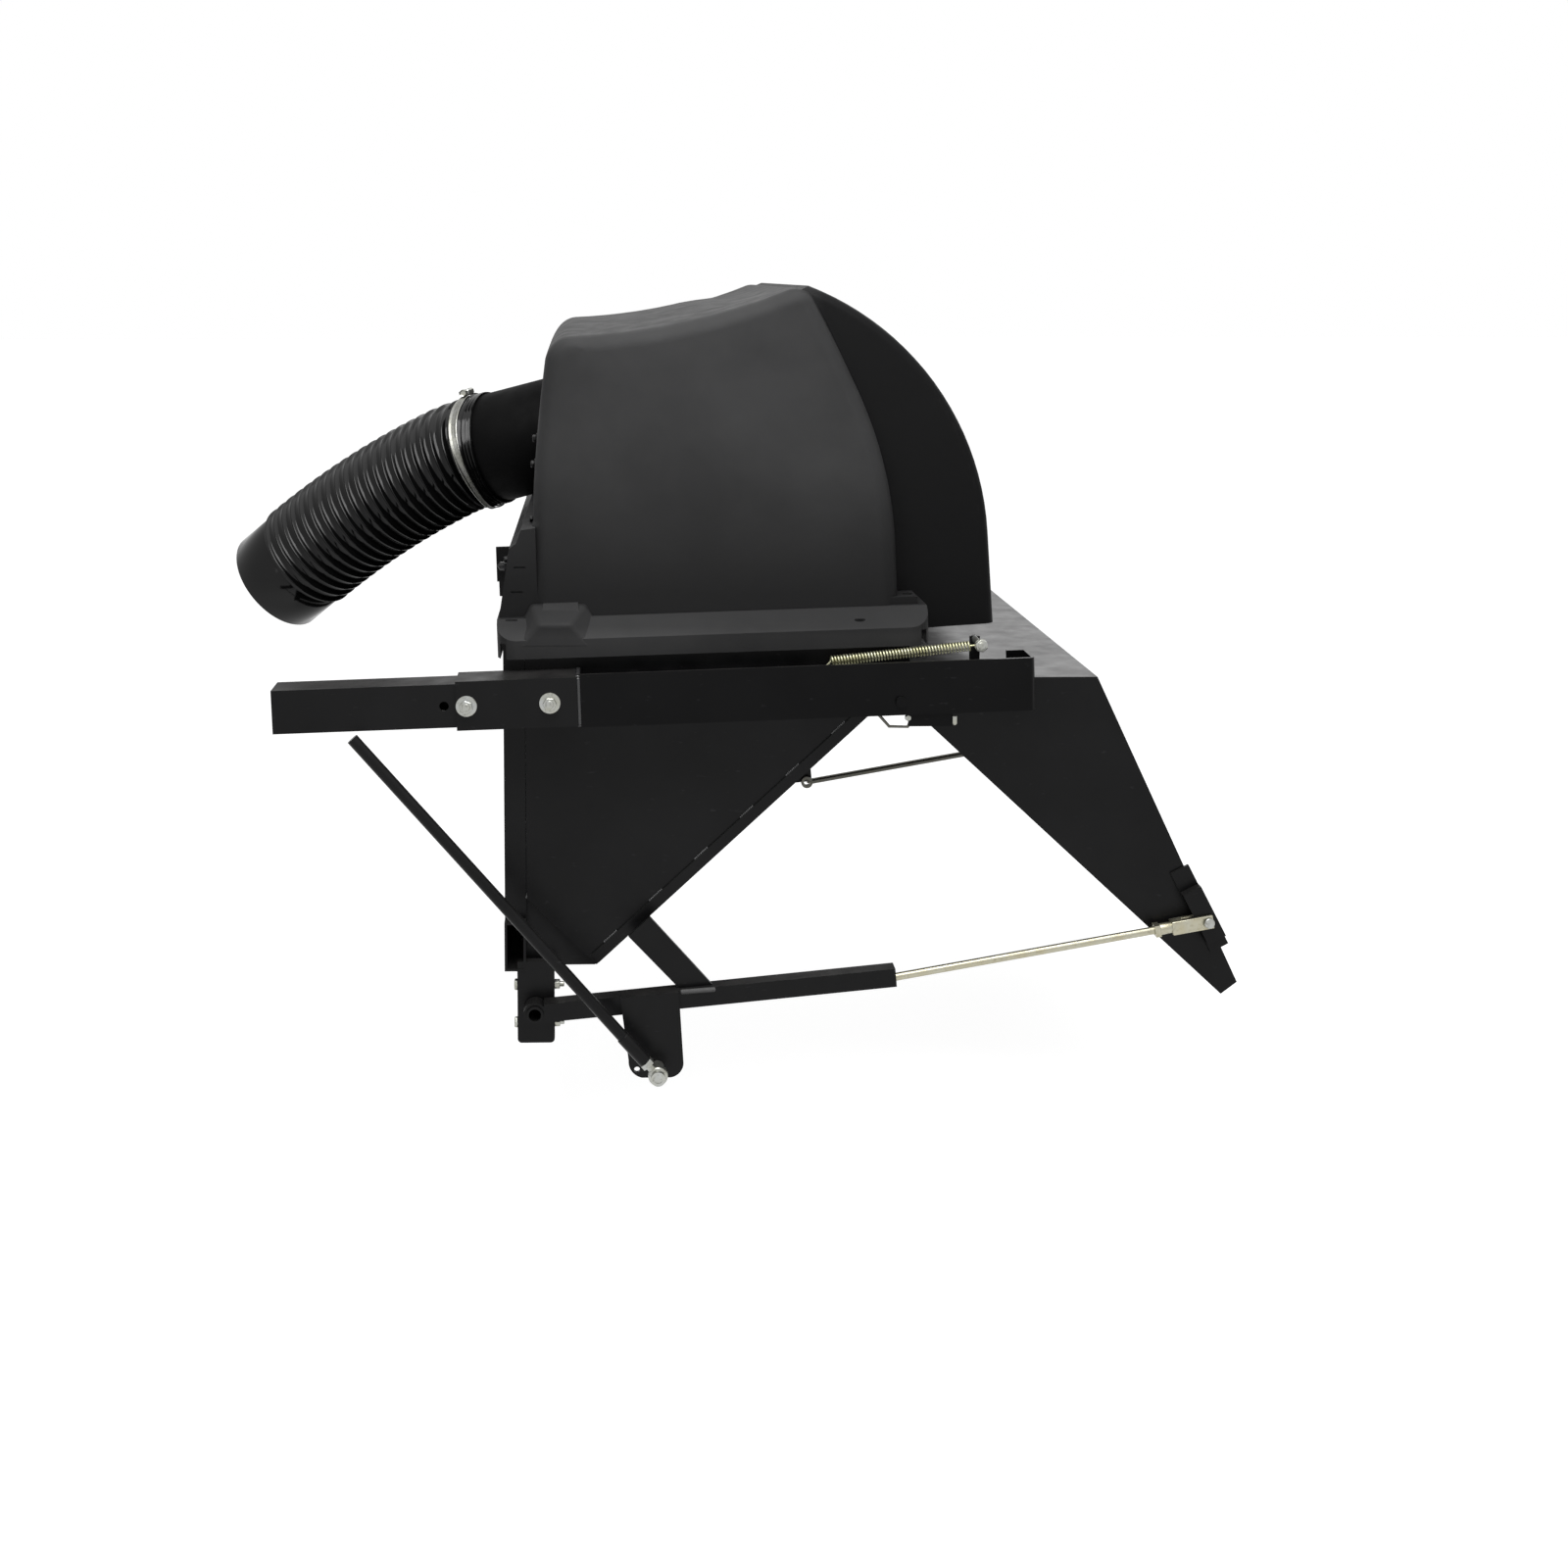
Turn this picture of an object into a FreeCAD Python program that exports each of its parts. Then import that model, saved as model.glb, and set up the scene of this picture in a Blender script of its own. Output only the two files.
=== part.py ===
import FreeCAD, Part
import math
import os

import Sketcher

# Rear bagger of a ride-on mower: a moulded hood over a steel hopper whose rear half is a bottom door.
# Millimetres. X runs to the rear, Z up, and the origin is the lower pivot tube's axis at mid width.
# The near side in the comments is the left side, towards minus Y.

SIZES = {
    # Hopper of folded sheet
    "hopper_half_width": 457.0,
    "hopper_wall": 3.0,
    "hopper_nose": 10.4,
    "chamfer_height": 128.4,
    "chamfer_angle": 44.6,
    "chamfer_length": 116.6,
    "hinge_reach": 426.4,
    "hinge_height": 375.6,
    "slant": 42.9,
    "sheet_gap": 14.9,
    "hopper_tail": 18.0,
    "strip_width": 13.0,
    "strip_length": 440.0,
    "strip_wall": 3.0,
    # Door, modelled fully open
    "side_gap": 0.5,
    "door_top_rise": 16.4,
    "door_top_length": 243.6,
    "door_rear_angle": 64.7,
    "door_rear_length": 416.0,
    "door_lip_length": 24.4,
    "door_seam": 43.05,
    "door_lip_angle": 142.7,
    # Hinges
    "pin_radius": 6.0,
    "pin_play": 0.06,
    "hinge_tube_radius": 11.0,
    # Front frame
    "post_size": 25.4,
    "post_front": 36.4,
    "cross_floor": 44.5,
    "cross_height": 59.5,
    "cross_wall": 3.0,
    "cross_overhang": 16.0,
    "rear_bar_rise": 30.0,
    # Rails, sleeves and support tube, in a frame that climbs to the rear
    "rail_front": 52.0,
    "rail_centre": 378.5,
    "rail_climb": 1.85,
    "rail_length": 532.0,
    "rail_height": 62.0,
    "rail_wall": 4.0,
    "rail_space": 54.0,
    "rail_lip": 24.0,
    "rail_bend": 8.0,
    "sleeve_length": 140.0,
    "sleeve_size": 57.4,
    "sleeve_wall": 3.1,
    "tube_size": 50.8,
    "tube_wall": 3.0,
    "tube_reach": 352.0,
    "tube_play": 0.2,
    "bolt_radius": 4.75,
    "washer_radius": 12.2,
    "bolt_front": 128.0,
    "bolt_rear": 32.0,
    "spare_hole": 154.0,
    "spare_hole_radius": 5.5,
    # Lift arms on the lower pivot tube
    "arm_size": 22.0,
    "arm_space": 17.0,
    "arm_length": 425.0,
    "arm_angle": 5.4,
    "torque_radius": 10.0,
    "torque_bore": 7.3,
    "gusset_wall": 5.0,
    "rod_x": 144.3,
    "rod_drop": 63.5,
    "tie_radius": 7.0,
    "tie_space": 25.0,
    "tie_angle": 131.0,
    "tie_length": 534.0,
    # Link from the arm's end to the door
    "link_space": 11.0,
    "link_radius": 4.7,
    "door_pin_x": 804.8,
    "door_pin_z": 97.1,
    "link_length": 391.7,
    "link_angle": 9.94,
    # Hood and hose
    "hood_front": 18.4,
    "hood_floor": 419.5,
    "hood_climb": 1.73,
    "hood_wall": 4.0,
    "hood_ledge": 18.0,
    "hood_seat": 0.3,
    "hood_base_inset": 17.0,
    "hood_taper": 56.0,
    "hood_roof": 425.0,
    "hood_face": 16.0,
    "hood_face_radius": 2000.0,
    "hood_front_top": 46.0,
    "hood_front_height": 373.0,
    "hood_front_round": 34.0,
    "hood_dish_radius": 760.0,
    "hood_back_round": 26.0,
    "hood_side_round": 22.0,
    "hood_rear": 455.5,
    "hood_rear_foot": 110.0,
    "hood_rear_radius": 480.0,
    "hood_rear_lean": 23.35,
    "hood_rear_straight": 141.4,
    "rim_overhang": 13.0,
    "rim_front": 24.5,
    "rim_rear": 486.7,
    "rim_edge": 22.0,
    "rim_step": 43.0,
    "rim_corner": 24.0,
    "bump_start": 13.0,
    "bump_length": 77.0,
    "bump_rise": 17.0,
    "ridge_angle": 67.3,
    "chute_inset": 68.0,
    "chute_x": 228.0,
    "chute_z": 104.0,
    "chute_radius": 348.0,
    "chute_lean": 2.4,
    "chute_drop": 112.6,
    "chute_round": 12.0,
    "collar_radius": 76.0,
    "collar_wall": 3.0,
    "collar_length": 100.0,
    "mouth_reach": 92.0,
    "mouth_height": 622.0,
    "hose_radius": 78.0,
    "hose_groove": 5.0,
    "hose_pitch": 14.2,
    "hose_dip": 14.6,
    "hose_bend": 200.0,
    "hose_turn": 11.4,
    "hose_sweep": 1000.0,
    "hose_fall": 14.0,
    "hose_wall": 2.0,
    "hose_lap": 30.0,
    "cuff_length": 50.0,
    "cuff_bore": 70.0,
    # Springs
    "spring_space": 29.0,
    "spring_radius": 5.6,
    "spring_length": 164.0,
    "spring_angle": 6.86,
    # Small plates
    "stop_start": 390.0,
    "stop_length": 52.0,
    "stop_depth": 22.0,
    "latch_reach": 23.0,
    "latch_rise": 22.0,
    "latch_height": 49.0,
    "latch_wall": 4.0,
}

doc = FreeCAD.newDocument("mower_bagger")
sheet = doc.addObject("Spreadsheet::Sheet", "Sizes")
for row, (alias, number) in enumerate(SIZES.items(), 1):
    sheet.set(f"A{row}", alias)
    sheet.set(f"B{row}", str(number))
    sheet.setAlias(f"B{row}", alias)
doc.recompute()


class Size:
    """A length or angle: its number, and the sheet expression that gives it."""

    def __init__(self, number, text=None):
        self.number = float(number)
        self.text = text if text is not None else repr(float(number))

    def __add__(self, other):
        other = sized(other)
        return Size(self.number + other.number, f"({self.text} + {other.text})")

    def __sub__(self, other):
        other = sized(other)
        return Size(self.number - other.number, f"({self.text} - {other.text})")

    def __mul__(self, other):
        other = sized(other)
        return Size(self.number * other.number, f"({self.text} * {other.text})")

    def __truediv__(self, other):
        other = sized(other)
        return Size(self.number / other.number, f"({self.text} / {other.text})")

    def __neg__(self):
        return Size(-self.number, f"(0 - {self.text})")

    __radd__ = __add__
    __rmul__ = __mul__

    def __rsub__(self, other):
        return sized(other) - self


def sized(value):
    return value if isinstance(value, Size) else Size(value)


def size(alias):
    return Size(SIZES[alias], f"Sizes.{alias}")


def cosine(angle):
    angle = sized(angle)
    return Size(math.cos(math.radians(angle.number)), f"cos({angle.text})")


def sine(angle):
    angle = sized(angle)
    return Size(math.sin(math.radians(angle.number)), f"sin({angle.text})")


def tangent(angle):
    angle = sized(angle)
    return Size(math.tan(math.radians(angle.number)), f"tan({angle.text})")


def along(start, angle, length, off=0.0):
    """The point at a length along a direction in the XZ plane, and off to its left."""
    x = sized(start[0]) + cosine(angle) * length - sine(angle) * off
    z = sized(start[1]) + sine(angle) * length + cosine(angle) * off
    return x, z


def bind(thing, prop, value):
    thing.setExpression(prop, sized(value).text)


def new_body(label):
    body = doc.addObject("PartDesign::Body", label)
    body.Label = label
    return body


def draw(body, plane, level, loops, circles=()):
    """A sketch on one of the body's origin planes, raised by level along the plane's normal.
    A loop is a list of corners (x, y) or (x, y, radius) where an arc leads to the next corner.
    A positive radius bulges to the right of the way the loop runs."""
    sketch = body.newObject("Sketcher::SketchObject", f"{body.Label}_sketch")
    flat = [f for f in body.Origin.OriginFeatures if f.Role == plane][0]
    sketch.AttachmentSupport = [(flat, "")]
    sketch.MapMode = "FlatFace"
    sketch.AttachmentOffset = FreeCAD.Placement(FreeCAD.Vector(0, 0, sized(level).number), FreeCAD.Rotation())
    sketch.setExpression("AttachmentOffset.Base.z", sized(level).text)

    def fix(kind, value, *where):
        number = sketch.addConstraint(Sketcher.Constraint(kind, *where, sized(value).number))
        sketch.setExpression(f"Constraints[{number}]", sized(value).text)

    for corners in loops:
        ends = []
        for index, corner in enumerate(corners):
            following = corners[(index + 1) % len(corners)]
            a = FreeCAD.Vector(sized(corner[0]).number, sized(corner[1]).number, 0)
            b = FreeCAD.Vector(sized(following[0]).number, sized(following[1]).number, 0)
            if len(corner) == 2:
                edge = sketch.addGeometry(Part.LineSegment(a, b), False)
                ends.append((edge, 1, 2))
                continue
            radius = sized(corner[2])
            reach = abs(radius.number)
            half = (b - a) * 0.5
            left = FreeCAD.Vector(-half.y, half.x, 0).normalize()
            lift = math.sqrt(max(reach * reach - half.Length**2, 0.0))
            turn = 1.0 if radius.number > 0 else -1.0
            centre = a + half + left * (lift * turn)
            first, last = (a, b) if turn > 0 else (b, a)
            start = math.atan2(first.y - centre.y, first.x - centre.x)
            stop = math.atan2(last.y - centre.y, last.x - centre.x)
            circle = Part.Circle(centre, FreeCAD.Vector(0, 0, 1), reach)
            edge = sketch.addGeometry(Part.ArcOfCircle(circle, start, stop), False)
            ends.append((edge, 1, 2) if turn > 0 else (edge, 2, 1))
            fix("Radius", radius * turn, edge)
        for index, corner in enumerate(corners):
            before = ends[index - 1]
            edge = ends[index]
            sketch.addConstraint(Sketcher.Constraint("Coincident", before[0], before[2], edge[0], edge[1]))
            fix("DistanceX", corner[0], -1, 1, edge[0], edge[1])
            fix("DistanceY", corner[1], -1, 1, edge[0], edge[1])
    for x, y, radius in circles:
        centre = FreeCAD.Vector(sized(x).number, sized(y).number, 0)
        edge = sketch.addGeometry(Part.Circle(centre, FreeCAD.Vector(0, 0, 1), sized(radius).number), False)
        fix("DistanceX", x, -1, 1, edge, 3)
        fix("DistanceY", y, -1, 1, edge, 3)
        fix("Radius", radius, edge)
    return sketch


def pad(body, plane, low, thick, loops, circles=()):
    sketch = draw(body, plane, low, loops, circles)
    feature = body.newObject("PartDesign::Pad", f"{body.Label}_pad")
    feature.Profile = sketch
    feature.Length = sized(thick).number
    bind(feature, "Length", thick)
    doc.recompute()
    return feature


def cut(body, plane, top, depth, loops, circles=()):
    """Pockets from the level top down against the plane's normal."""
    sketch = draw(body, plane, top, loops, circles)
    feature = body.newObject("PartDesign::Pocket", f"{body.Label}_pocket")
    feature.Profile = sketch
    feature.Length = sized(depth).number
    bind(feature, "Length", depth)
    doc.recompute()
    return feature


def round_edges(body, feature, radius, wanted):
    names = [f"Edge{n}" for n, edge in enumerate(feature.Shape.Edges, 1) if wanted(edge)]
    fillet = body.newObject("PartDesign::Fillet", f"{body.Label}_fillet")
    fillet.Base = (feature, names)
    fillet.Radius = sized(radius).number
    bind(fillet, "Radius", radius)
    doc.recompute()
    return fillet


def across(side, low, thick):
    """The level along the XZ plane's normal, minus Y, of a plate on the left (1) or right (-1) side."""
    return sized(low) if side > 0 else -(sized(low) + thick)


def plate(label, side, low, thick, corners, circles=()):
    body = new_body(label)
    pad(body, "XZ_Plane", across(side, low, thick), thick, [corners], circles)
    return body


def bar(start, angle, length, half, back=0.0):
    """The four corners of a straight bar of half width, seen from the side."""
    return [
        along(start, angle, -sized(back), -sized(half)),
        along(start, angle, length, -sized(half)),
        along(start, angle, length, half),
        along(start, angle, -sized(back), half),
    ]


def pin(label, side, low, long, x, z, radius, bore=None):
    """A round pin or tube across the machine."""
    circles = [(x, z, radius)]
    if bore is not None:
        circles.append((x, z, bore))
    body = new_body(label)
    pad(body, "XZ_Plane", across(side, low, long), long, [], circles)
    return body


def group(label, members):
    joined = doc.addObject("Part::Compound", label)
    joined.Label = label
    joined.Links = members
    return joined


def tilt(body, x, z, climb):
    """Sets a body's own frame at a point, climbing to the rear by an angle."""
    body.Placement = FreeCAD.Placement(
        FreeCAD.Vector(sized(x).number, 0, sized(z).number),
        FreeCAD.Rotation(FreeCAD.Vector(0, -1, 0), sized(climb).number),
    )
    bind(body, "Placement.Base.x", x)
    bind(body, "Placement.Base.z", z)
    bind(body, "Placement.Rotation.Angle", climb)


nodes = []
sides = (("left", 1), ("right", -1))
wall = size("hopper_wall")
half = size("hopper_half_width")
inner = half - wall
hinge_x = size("hinge_reach")
hinge_z = size("hinge_height")
hinge = (hinge_x, hinge_z)
pin_radius = size("pin_radius")
pin_hole = pin_radius + size("pin_play")
nose = -size("hopper_nose")
chamfer_angle = size("chamfer_angle")
heel = along((nose, size("chamfer_height")), -chamfer_angle, size("chamfer_length"))
climb = size("hood_climb")
slant = size("slant")
hopper_rear = hinge_x + size("hopper_tail")
rail_outer = half + size("rail_space")
arm_inner = half + size("arm_space")
arm = size("arm_size")
arm_outer = arm_inner + arm
gusset_wall = size("gusset_wall")
tie_plane = arm_outer + gusset_wall + size("tie_space")
link_plane = half + size("link_space")


def hopper_roof(x):
    """The height of the hopper's top edge, just under the ledge inside the hood's rim."""
    ledge = (size("hood_ledge") - size("hood_seat")) / cosine(climb)
    return size("hood_floor") + ledge + (sized(x) + size("hood_front")) * tangent(climb)


# Hopper
for name, side in sides:
    corners = [
        (nose, hopper_roof(nose)),
        (nose, size("chamfer_height")),
        heel,
        (hinge_x - 16, hinge_z - size("sheet_gap")),
        (hopper_rear, hinge_z - size("sheet_gap")),
        (hopper_rear, hopper_roof(hopper_rear)),
    ]
    nodes.append(plate(f"hopper_side_{name}", side, inner, wall, corners, [(hinge_x, hinge_z, pin_hole)]))
    corners = bar(along(heel, slant, 4, size("strip_width") / 2 + 0.5), slant, size("strip_length"), size("strip_width") / 2)
    nodes.append(plate(f"hopper_strip_{name}", side, half, size("strip_wall"), corners))

front = new_body("hopper_front")
turned = wall * tangent(chamfer_angle / 2)
front_roof = hopper_roof(nose)
chamfer_foot = along(heel, 90 - chamfer_angle, wall)
pad(
    front,
    "XZ_Plane",
    -inner,
    inner * 2,
    [
        [
            (nose, front_roof),
            (nose, size("chamfer_height")),
            heel,
            chamfer_foot,
            (nose + wall, size("chamfer_height") + turned * 0.55),
            (nose + wall, front_roof),
        ]
    ],
)
nodes.append(front)

rear_bar = new_body("rear_cross_bar")
bar_floor = hinge_z + size("rear_bar_rise")
pad(
    rear_bar,
    "XZ_Plane",
    -inner,
    inner * 2,
    [
        [
            (hinge_x - 4, bar_floor),
            (hopper_rear, bar_floor),
            (hopper_rear, bar_floor + wall),
            (hinge_x - 1, bar_floor + wall),
            (hinge_x - 1, hopper_roof(hinge_x - 4) - 1),
            (hinge_x - 4, hopper_roof(hinge_x - 4) - 1),
        ]
    ],
)
nodes.append(rear_bar)

# Front frame: posts, cross member and corner plates
post_front = -size("post_front")
post = size("post_size")
cross_top = size("cross_floor") + size("cross_height")
for name, side in sides:
    body = new_body(f"front_post_{name}")
    post_roof = hopper_roof(post_front)
    corners = [
        (post_front, cross_top),
        (post_front + post, cross_top),
        (post_front + post, post_roof),
        (post_front, post_roof),
    ]
    pad(body, "XZ_Plane", across(side, half - post, post), post, [corners])
    nodes.append(body)
    corners = [
        (post_front + post, size("cross_floor")),
        (post_front + post, size("chamfer_height") - 2),
        along(heel, 225 - chamfer_angle + 45, 1.2),
        (heel[0] - 1.7, size("cross_floor")),
    ]
    nodes.append(plate(f"corner_plate_{name}", side, inner - 6, wall, corners))

cross = new_body("front_cross_member")
cross_wall = size("cross_wall")
cross_half = half + size("cross_overhang")
corners = [
    (post_front, size("cross_floor")),
    (post_front + post, size("cross_floor")),
    (post_front + post, cross_top),
    (post_front, cross_top),
]
hollow = [
    (post_front + cross_wall, size("cross_floor") + cross_wall),
    (post_front + post - cross_wall, size("cross_floor") + cross_wall),
    (post_front + post - cross_wall, cross_top - cross_wall),
    (post_front + cross_wall, cross_top - cross_wall),
]
pad(cross, "XZ_Plane", -cross_half, cross_half * 2, [corners, hollow])
nodes.append(cross)

# Hitch brackets that carry the pivot tube
torque = size("torque_radius")
bracket_roof = size("cross_floor")
for name, side in sides:
    body = new_body(f"hitch_bracket_{name}")
    web = 4.0
    depth = 13.0
    low = arm_inner - 2 - depth
    outline = [(-21.5, -34.7), (22.6, -34.7), (22.6, bracket_roof), (-21.5, bracket_roof)]
    pad(body, "XZ_Plane", across(side, low, depth), depth, [outline])
    hollow = [(-17.5, -30.7), (18.6, -30.7), (18.6, bracket_roof - 4), (-17.5, bracket_roof - 4)]
    if side > 0:
        cut(body, "XZ_Plane", low + depth - web, depth - web, [hollow])
    else:
        cut(body, "XZ_Plane", -low, depth - web, [hollow])
    edge = cut(body, "XZ_Plane", across(side, low, depth) + depth, depth, [], [(0.001, 0.001, torque + 0.06)])
    round_edges(
        body,
        edge,
        5.0,
        lambda e: abs(e.tangentAt(e.FirstParameter).y) > 0.99
        and e.Length > 12.5
        and e.Curve.TypeId == "Part::GeomLine"
        and e.CenterOfMass.z < 0
        and abs(e.CenterOfMass.x) > 20,
    )
    nodes.append(body)

# Torque tube and arms
arm_angle = size("arm_angle")
origin = (sized(0.001), sized(0.001))
tube = new_body("torque_tube")
tube_half = arm_outer + 3
pad(
    tube,
    "XZ_Plane",
    -tube_half,
    tube_half * 2,
    [],
    [(0.001, 0.001, torque), (0.001, 0.001, size("torque_bore"))],
)
nodes.append(tube)
for name, side in sides:
    corners = [
        along(origin, arm_angle, 11.5, -arm / 2),
        along(origin, arm_angle, size("arm_length") + 4, -arm / 2),
        along(origin, arm_angle, size("arm_length") + 4, arm / 2),
        along(origin, arm_angle, 11.5, arm / 2),
    ]
    body = new_body(f"lift_arm_{name}")
    hub = [(0.001, 0.001, torque + 3.6)]
    pad(body, "XZ_Plane", across(side, arm_inner, arm), arm, [], hub)
    pad(body, "XZ_Plane", across(side, arm_inner, arm), arm, [corners])
    level = across(side, arm_inner, arm) + arm
    cut(body, "XZ_Plane", level, arm, [], [(0.001, 0.001, torque + 0.06)])
    nodes.append(body)
    top = arm / 2
    strap = [
        along(origin, arm_angle, 172, top),
        along(origin, arm_angle, 212, top),
        (136.0, 114.0),
        (110.5, 90.5),
    ]
    nodes.append(plate(f"arm_strap_{name}", side, arm_inner + 8, 5.0, strap))

rod_x = size("rod_x")
rod_z = -size("rod_drop")
gusset = new_body("gusset_plate")
pad(
    gusset,
    "XZ_Plane",
    arm_outer,
    gusset_wall,
    [
        [
            along(origin, arm_angle, 102, arm / 2),
            (rod_x - 34, rod_z + 8, 20.0),
            (rod_x - 18, rod_z - 13),
            (rod_x + 16, rod_z - 13, 18.0),
            (rod_x + 31, rod_z + 4),
            (171.0, 8.0),
            along(origin, arm_angle, 171, arm / 2),
        ]
    ],
    [(rod_x, rod_z, 5.0), (rod_x - 24, rod_z - 3, 3.5)],
)
nodes.append(gusset)

# Tie rod from the gusset up to the support tube
tie_angle = size("tie_angle")


def rod_along(label, start, angle, reach, length, radius, level, side=1):
    """A round rod that lies in a plane across the machine, turned about its own line."""
    body = new_body(label)
    lower = along(start, angle, reach)
    upper = along(start, angle, sized(reach) + length)
    sketch = draw(
        body,
        "XZ_Plane",
        sized(level) * side,
        [[lower, upper, along(start, angle, sized(reach) + length, radius), along(start, angle, reach, radius)]],
    )
    turned = body.newObject("PartDesign::Revolution", f"{label}_turned")
    turned.Profile = sketch
    turned.ReferenceAxis = (sketch, ["Edge1"])
    turned.Angle = 360
    doc.recompute()
    return body


tie = rod_along("tie_rod", (rod_x, rod_z), tie_angle, 34, size("tie_length") - 34, size("tie_radius"), tie_plane)
nodes.append(tie)
end = new_body("tie_rod_end")
eye_low = tie_plane - 6
pad(end, "XZ_Plane", eye_low, 12, [], [(rod_x, rod_z, 13.0), (rod_x, rod_z, 5.06)])
neck = draw(end, "XZ_Plane", eye_low + 1.5, [bar((rod_x, rod_z), tie_angle, 34, 6.0, -11)])
feature = end.newObject("PartDesign::Pad", "tie_neck")
feature.Profile = neck
feature.Length = 9
doc.recompute()
nodes.append(end)
bolt_inner = pin("rod_bolt_shank", 1, arm_outer + gusset_wall - 8, tie_plane + 12 - (arm_outer + gusset_wall - 8), rod_x, rod_z, 4.98)
bolt_head = pin("rod_bolt_head", 1, tie_plane + 6.3, 6.5, rod_x, rod_z, 8.5, 4.98)
spacer = pin("rod_bolt_spacer", 1, arm_outer + gusset_wall, tie_plane - 6.3 - (arm_outer + gusset_wall), rod_x, rod_z, 8.0, 4.98)
nodes.append(group("rod_bolt", [bolt_inner, bolt_head, spacer]))

# Hinges
rail_in = rail_outer - size("rail_wall")
hinge_tubes = []
hinge_pins = []
for name, side in sides:
    reach = rail_in - half
    radius = size("hinge_tube_radius")
    hinge_tubes.append(pin(f"hinge_tube_{name}", side, half, reach, hinge_x, hinge_z, radius, pin_hole))
    low = inner - 10
    reach = rail_outer + 5 - low
    hinge_pins.append(pin(f"hinge_pin_{name}", side, low, reach, hinge_x, hinge_z, pin_radius))
nodes.append(group("hinge_tubes", hinge_tubes))
nodes.append(group("hinge_pins", hinge_pins))

# Rails
rail_wall = size("rail_wall")
rail_length = size("rail_length")
rail_height = size("rail_height")
rail_inner = half + 0.5
rail_climb = size("rail_climb")
hinge_reach = hinge_x - size("rail_front")
hinge_rise = hinge_z - size("rail_centre")
hinge_on_rail = (
    hinge_reach * cosine(rail_climb) + hinge_rise * sine(rail_climb),
    hinge_rise * cosine(rail_climb) - hinge_reach * sine(rail_climb),
)
for name, side in sides:
    body = new_body(f"rail_{name}")
    outer = -rail_outer
    near = -(rail_outer - rail_wall)
    back = -rail_inner
    lip = -(rail_inner + rail_wall)
    corners = [
        (0.001, outer),
        (rail_length, outer),
        (rail_length, back),
        (rail_length - size("rail_lip"), back),
        (rail_length - size("rail_lip"), lip),
        (rail_length - rail_wall, lip),
        (rail_length - rail_wall, near),
        (0.001, near),
    ]
    if side < 0:
        corners = [(x, -sized(y)) for x, y in corners][::-1]
    base = pad(body, "XY_Plane", -rail_height / 2, rail_height, [corners])
    round_edges(
        body,
        base,
        size("rail_bend"),
        lambda e: abs(e.tangentAt(e.FirstParameter).z) > 0.99 and abs(e.CenterOfMass.x - rail_length.number) < 0.1,
    )
    level = across(side, rail_outer - rail_wall, rail_wall) + rail_wall
    cut(body, "XZ_Plane", level, rail_wall, [], [(*hinge_on_rail, pin_hole)])
    tilt(body, size("rail_front"), size("rail_centre"), rail_climb)
    nodes.append(body)

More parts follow.
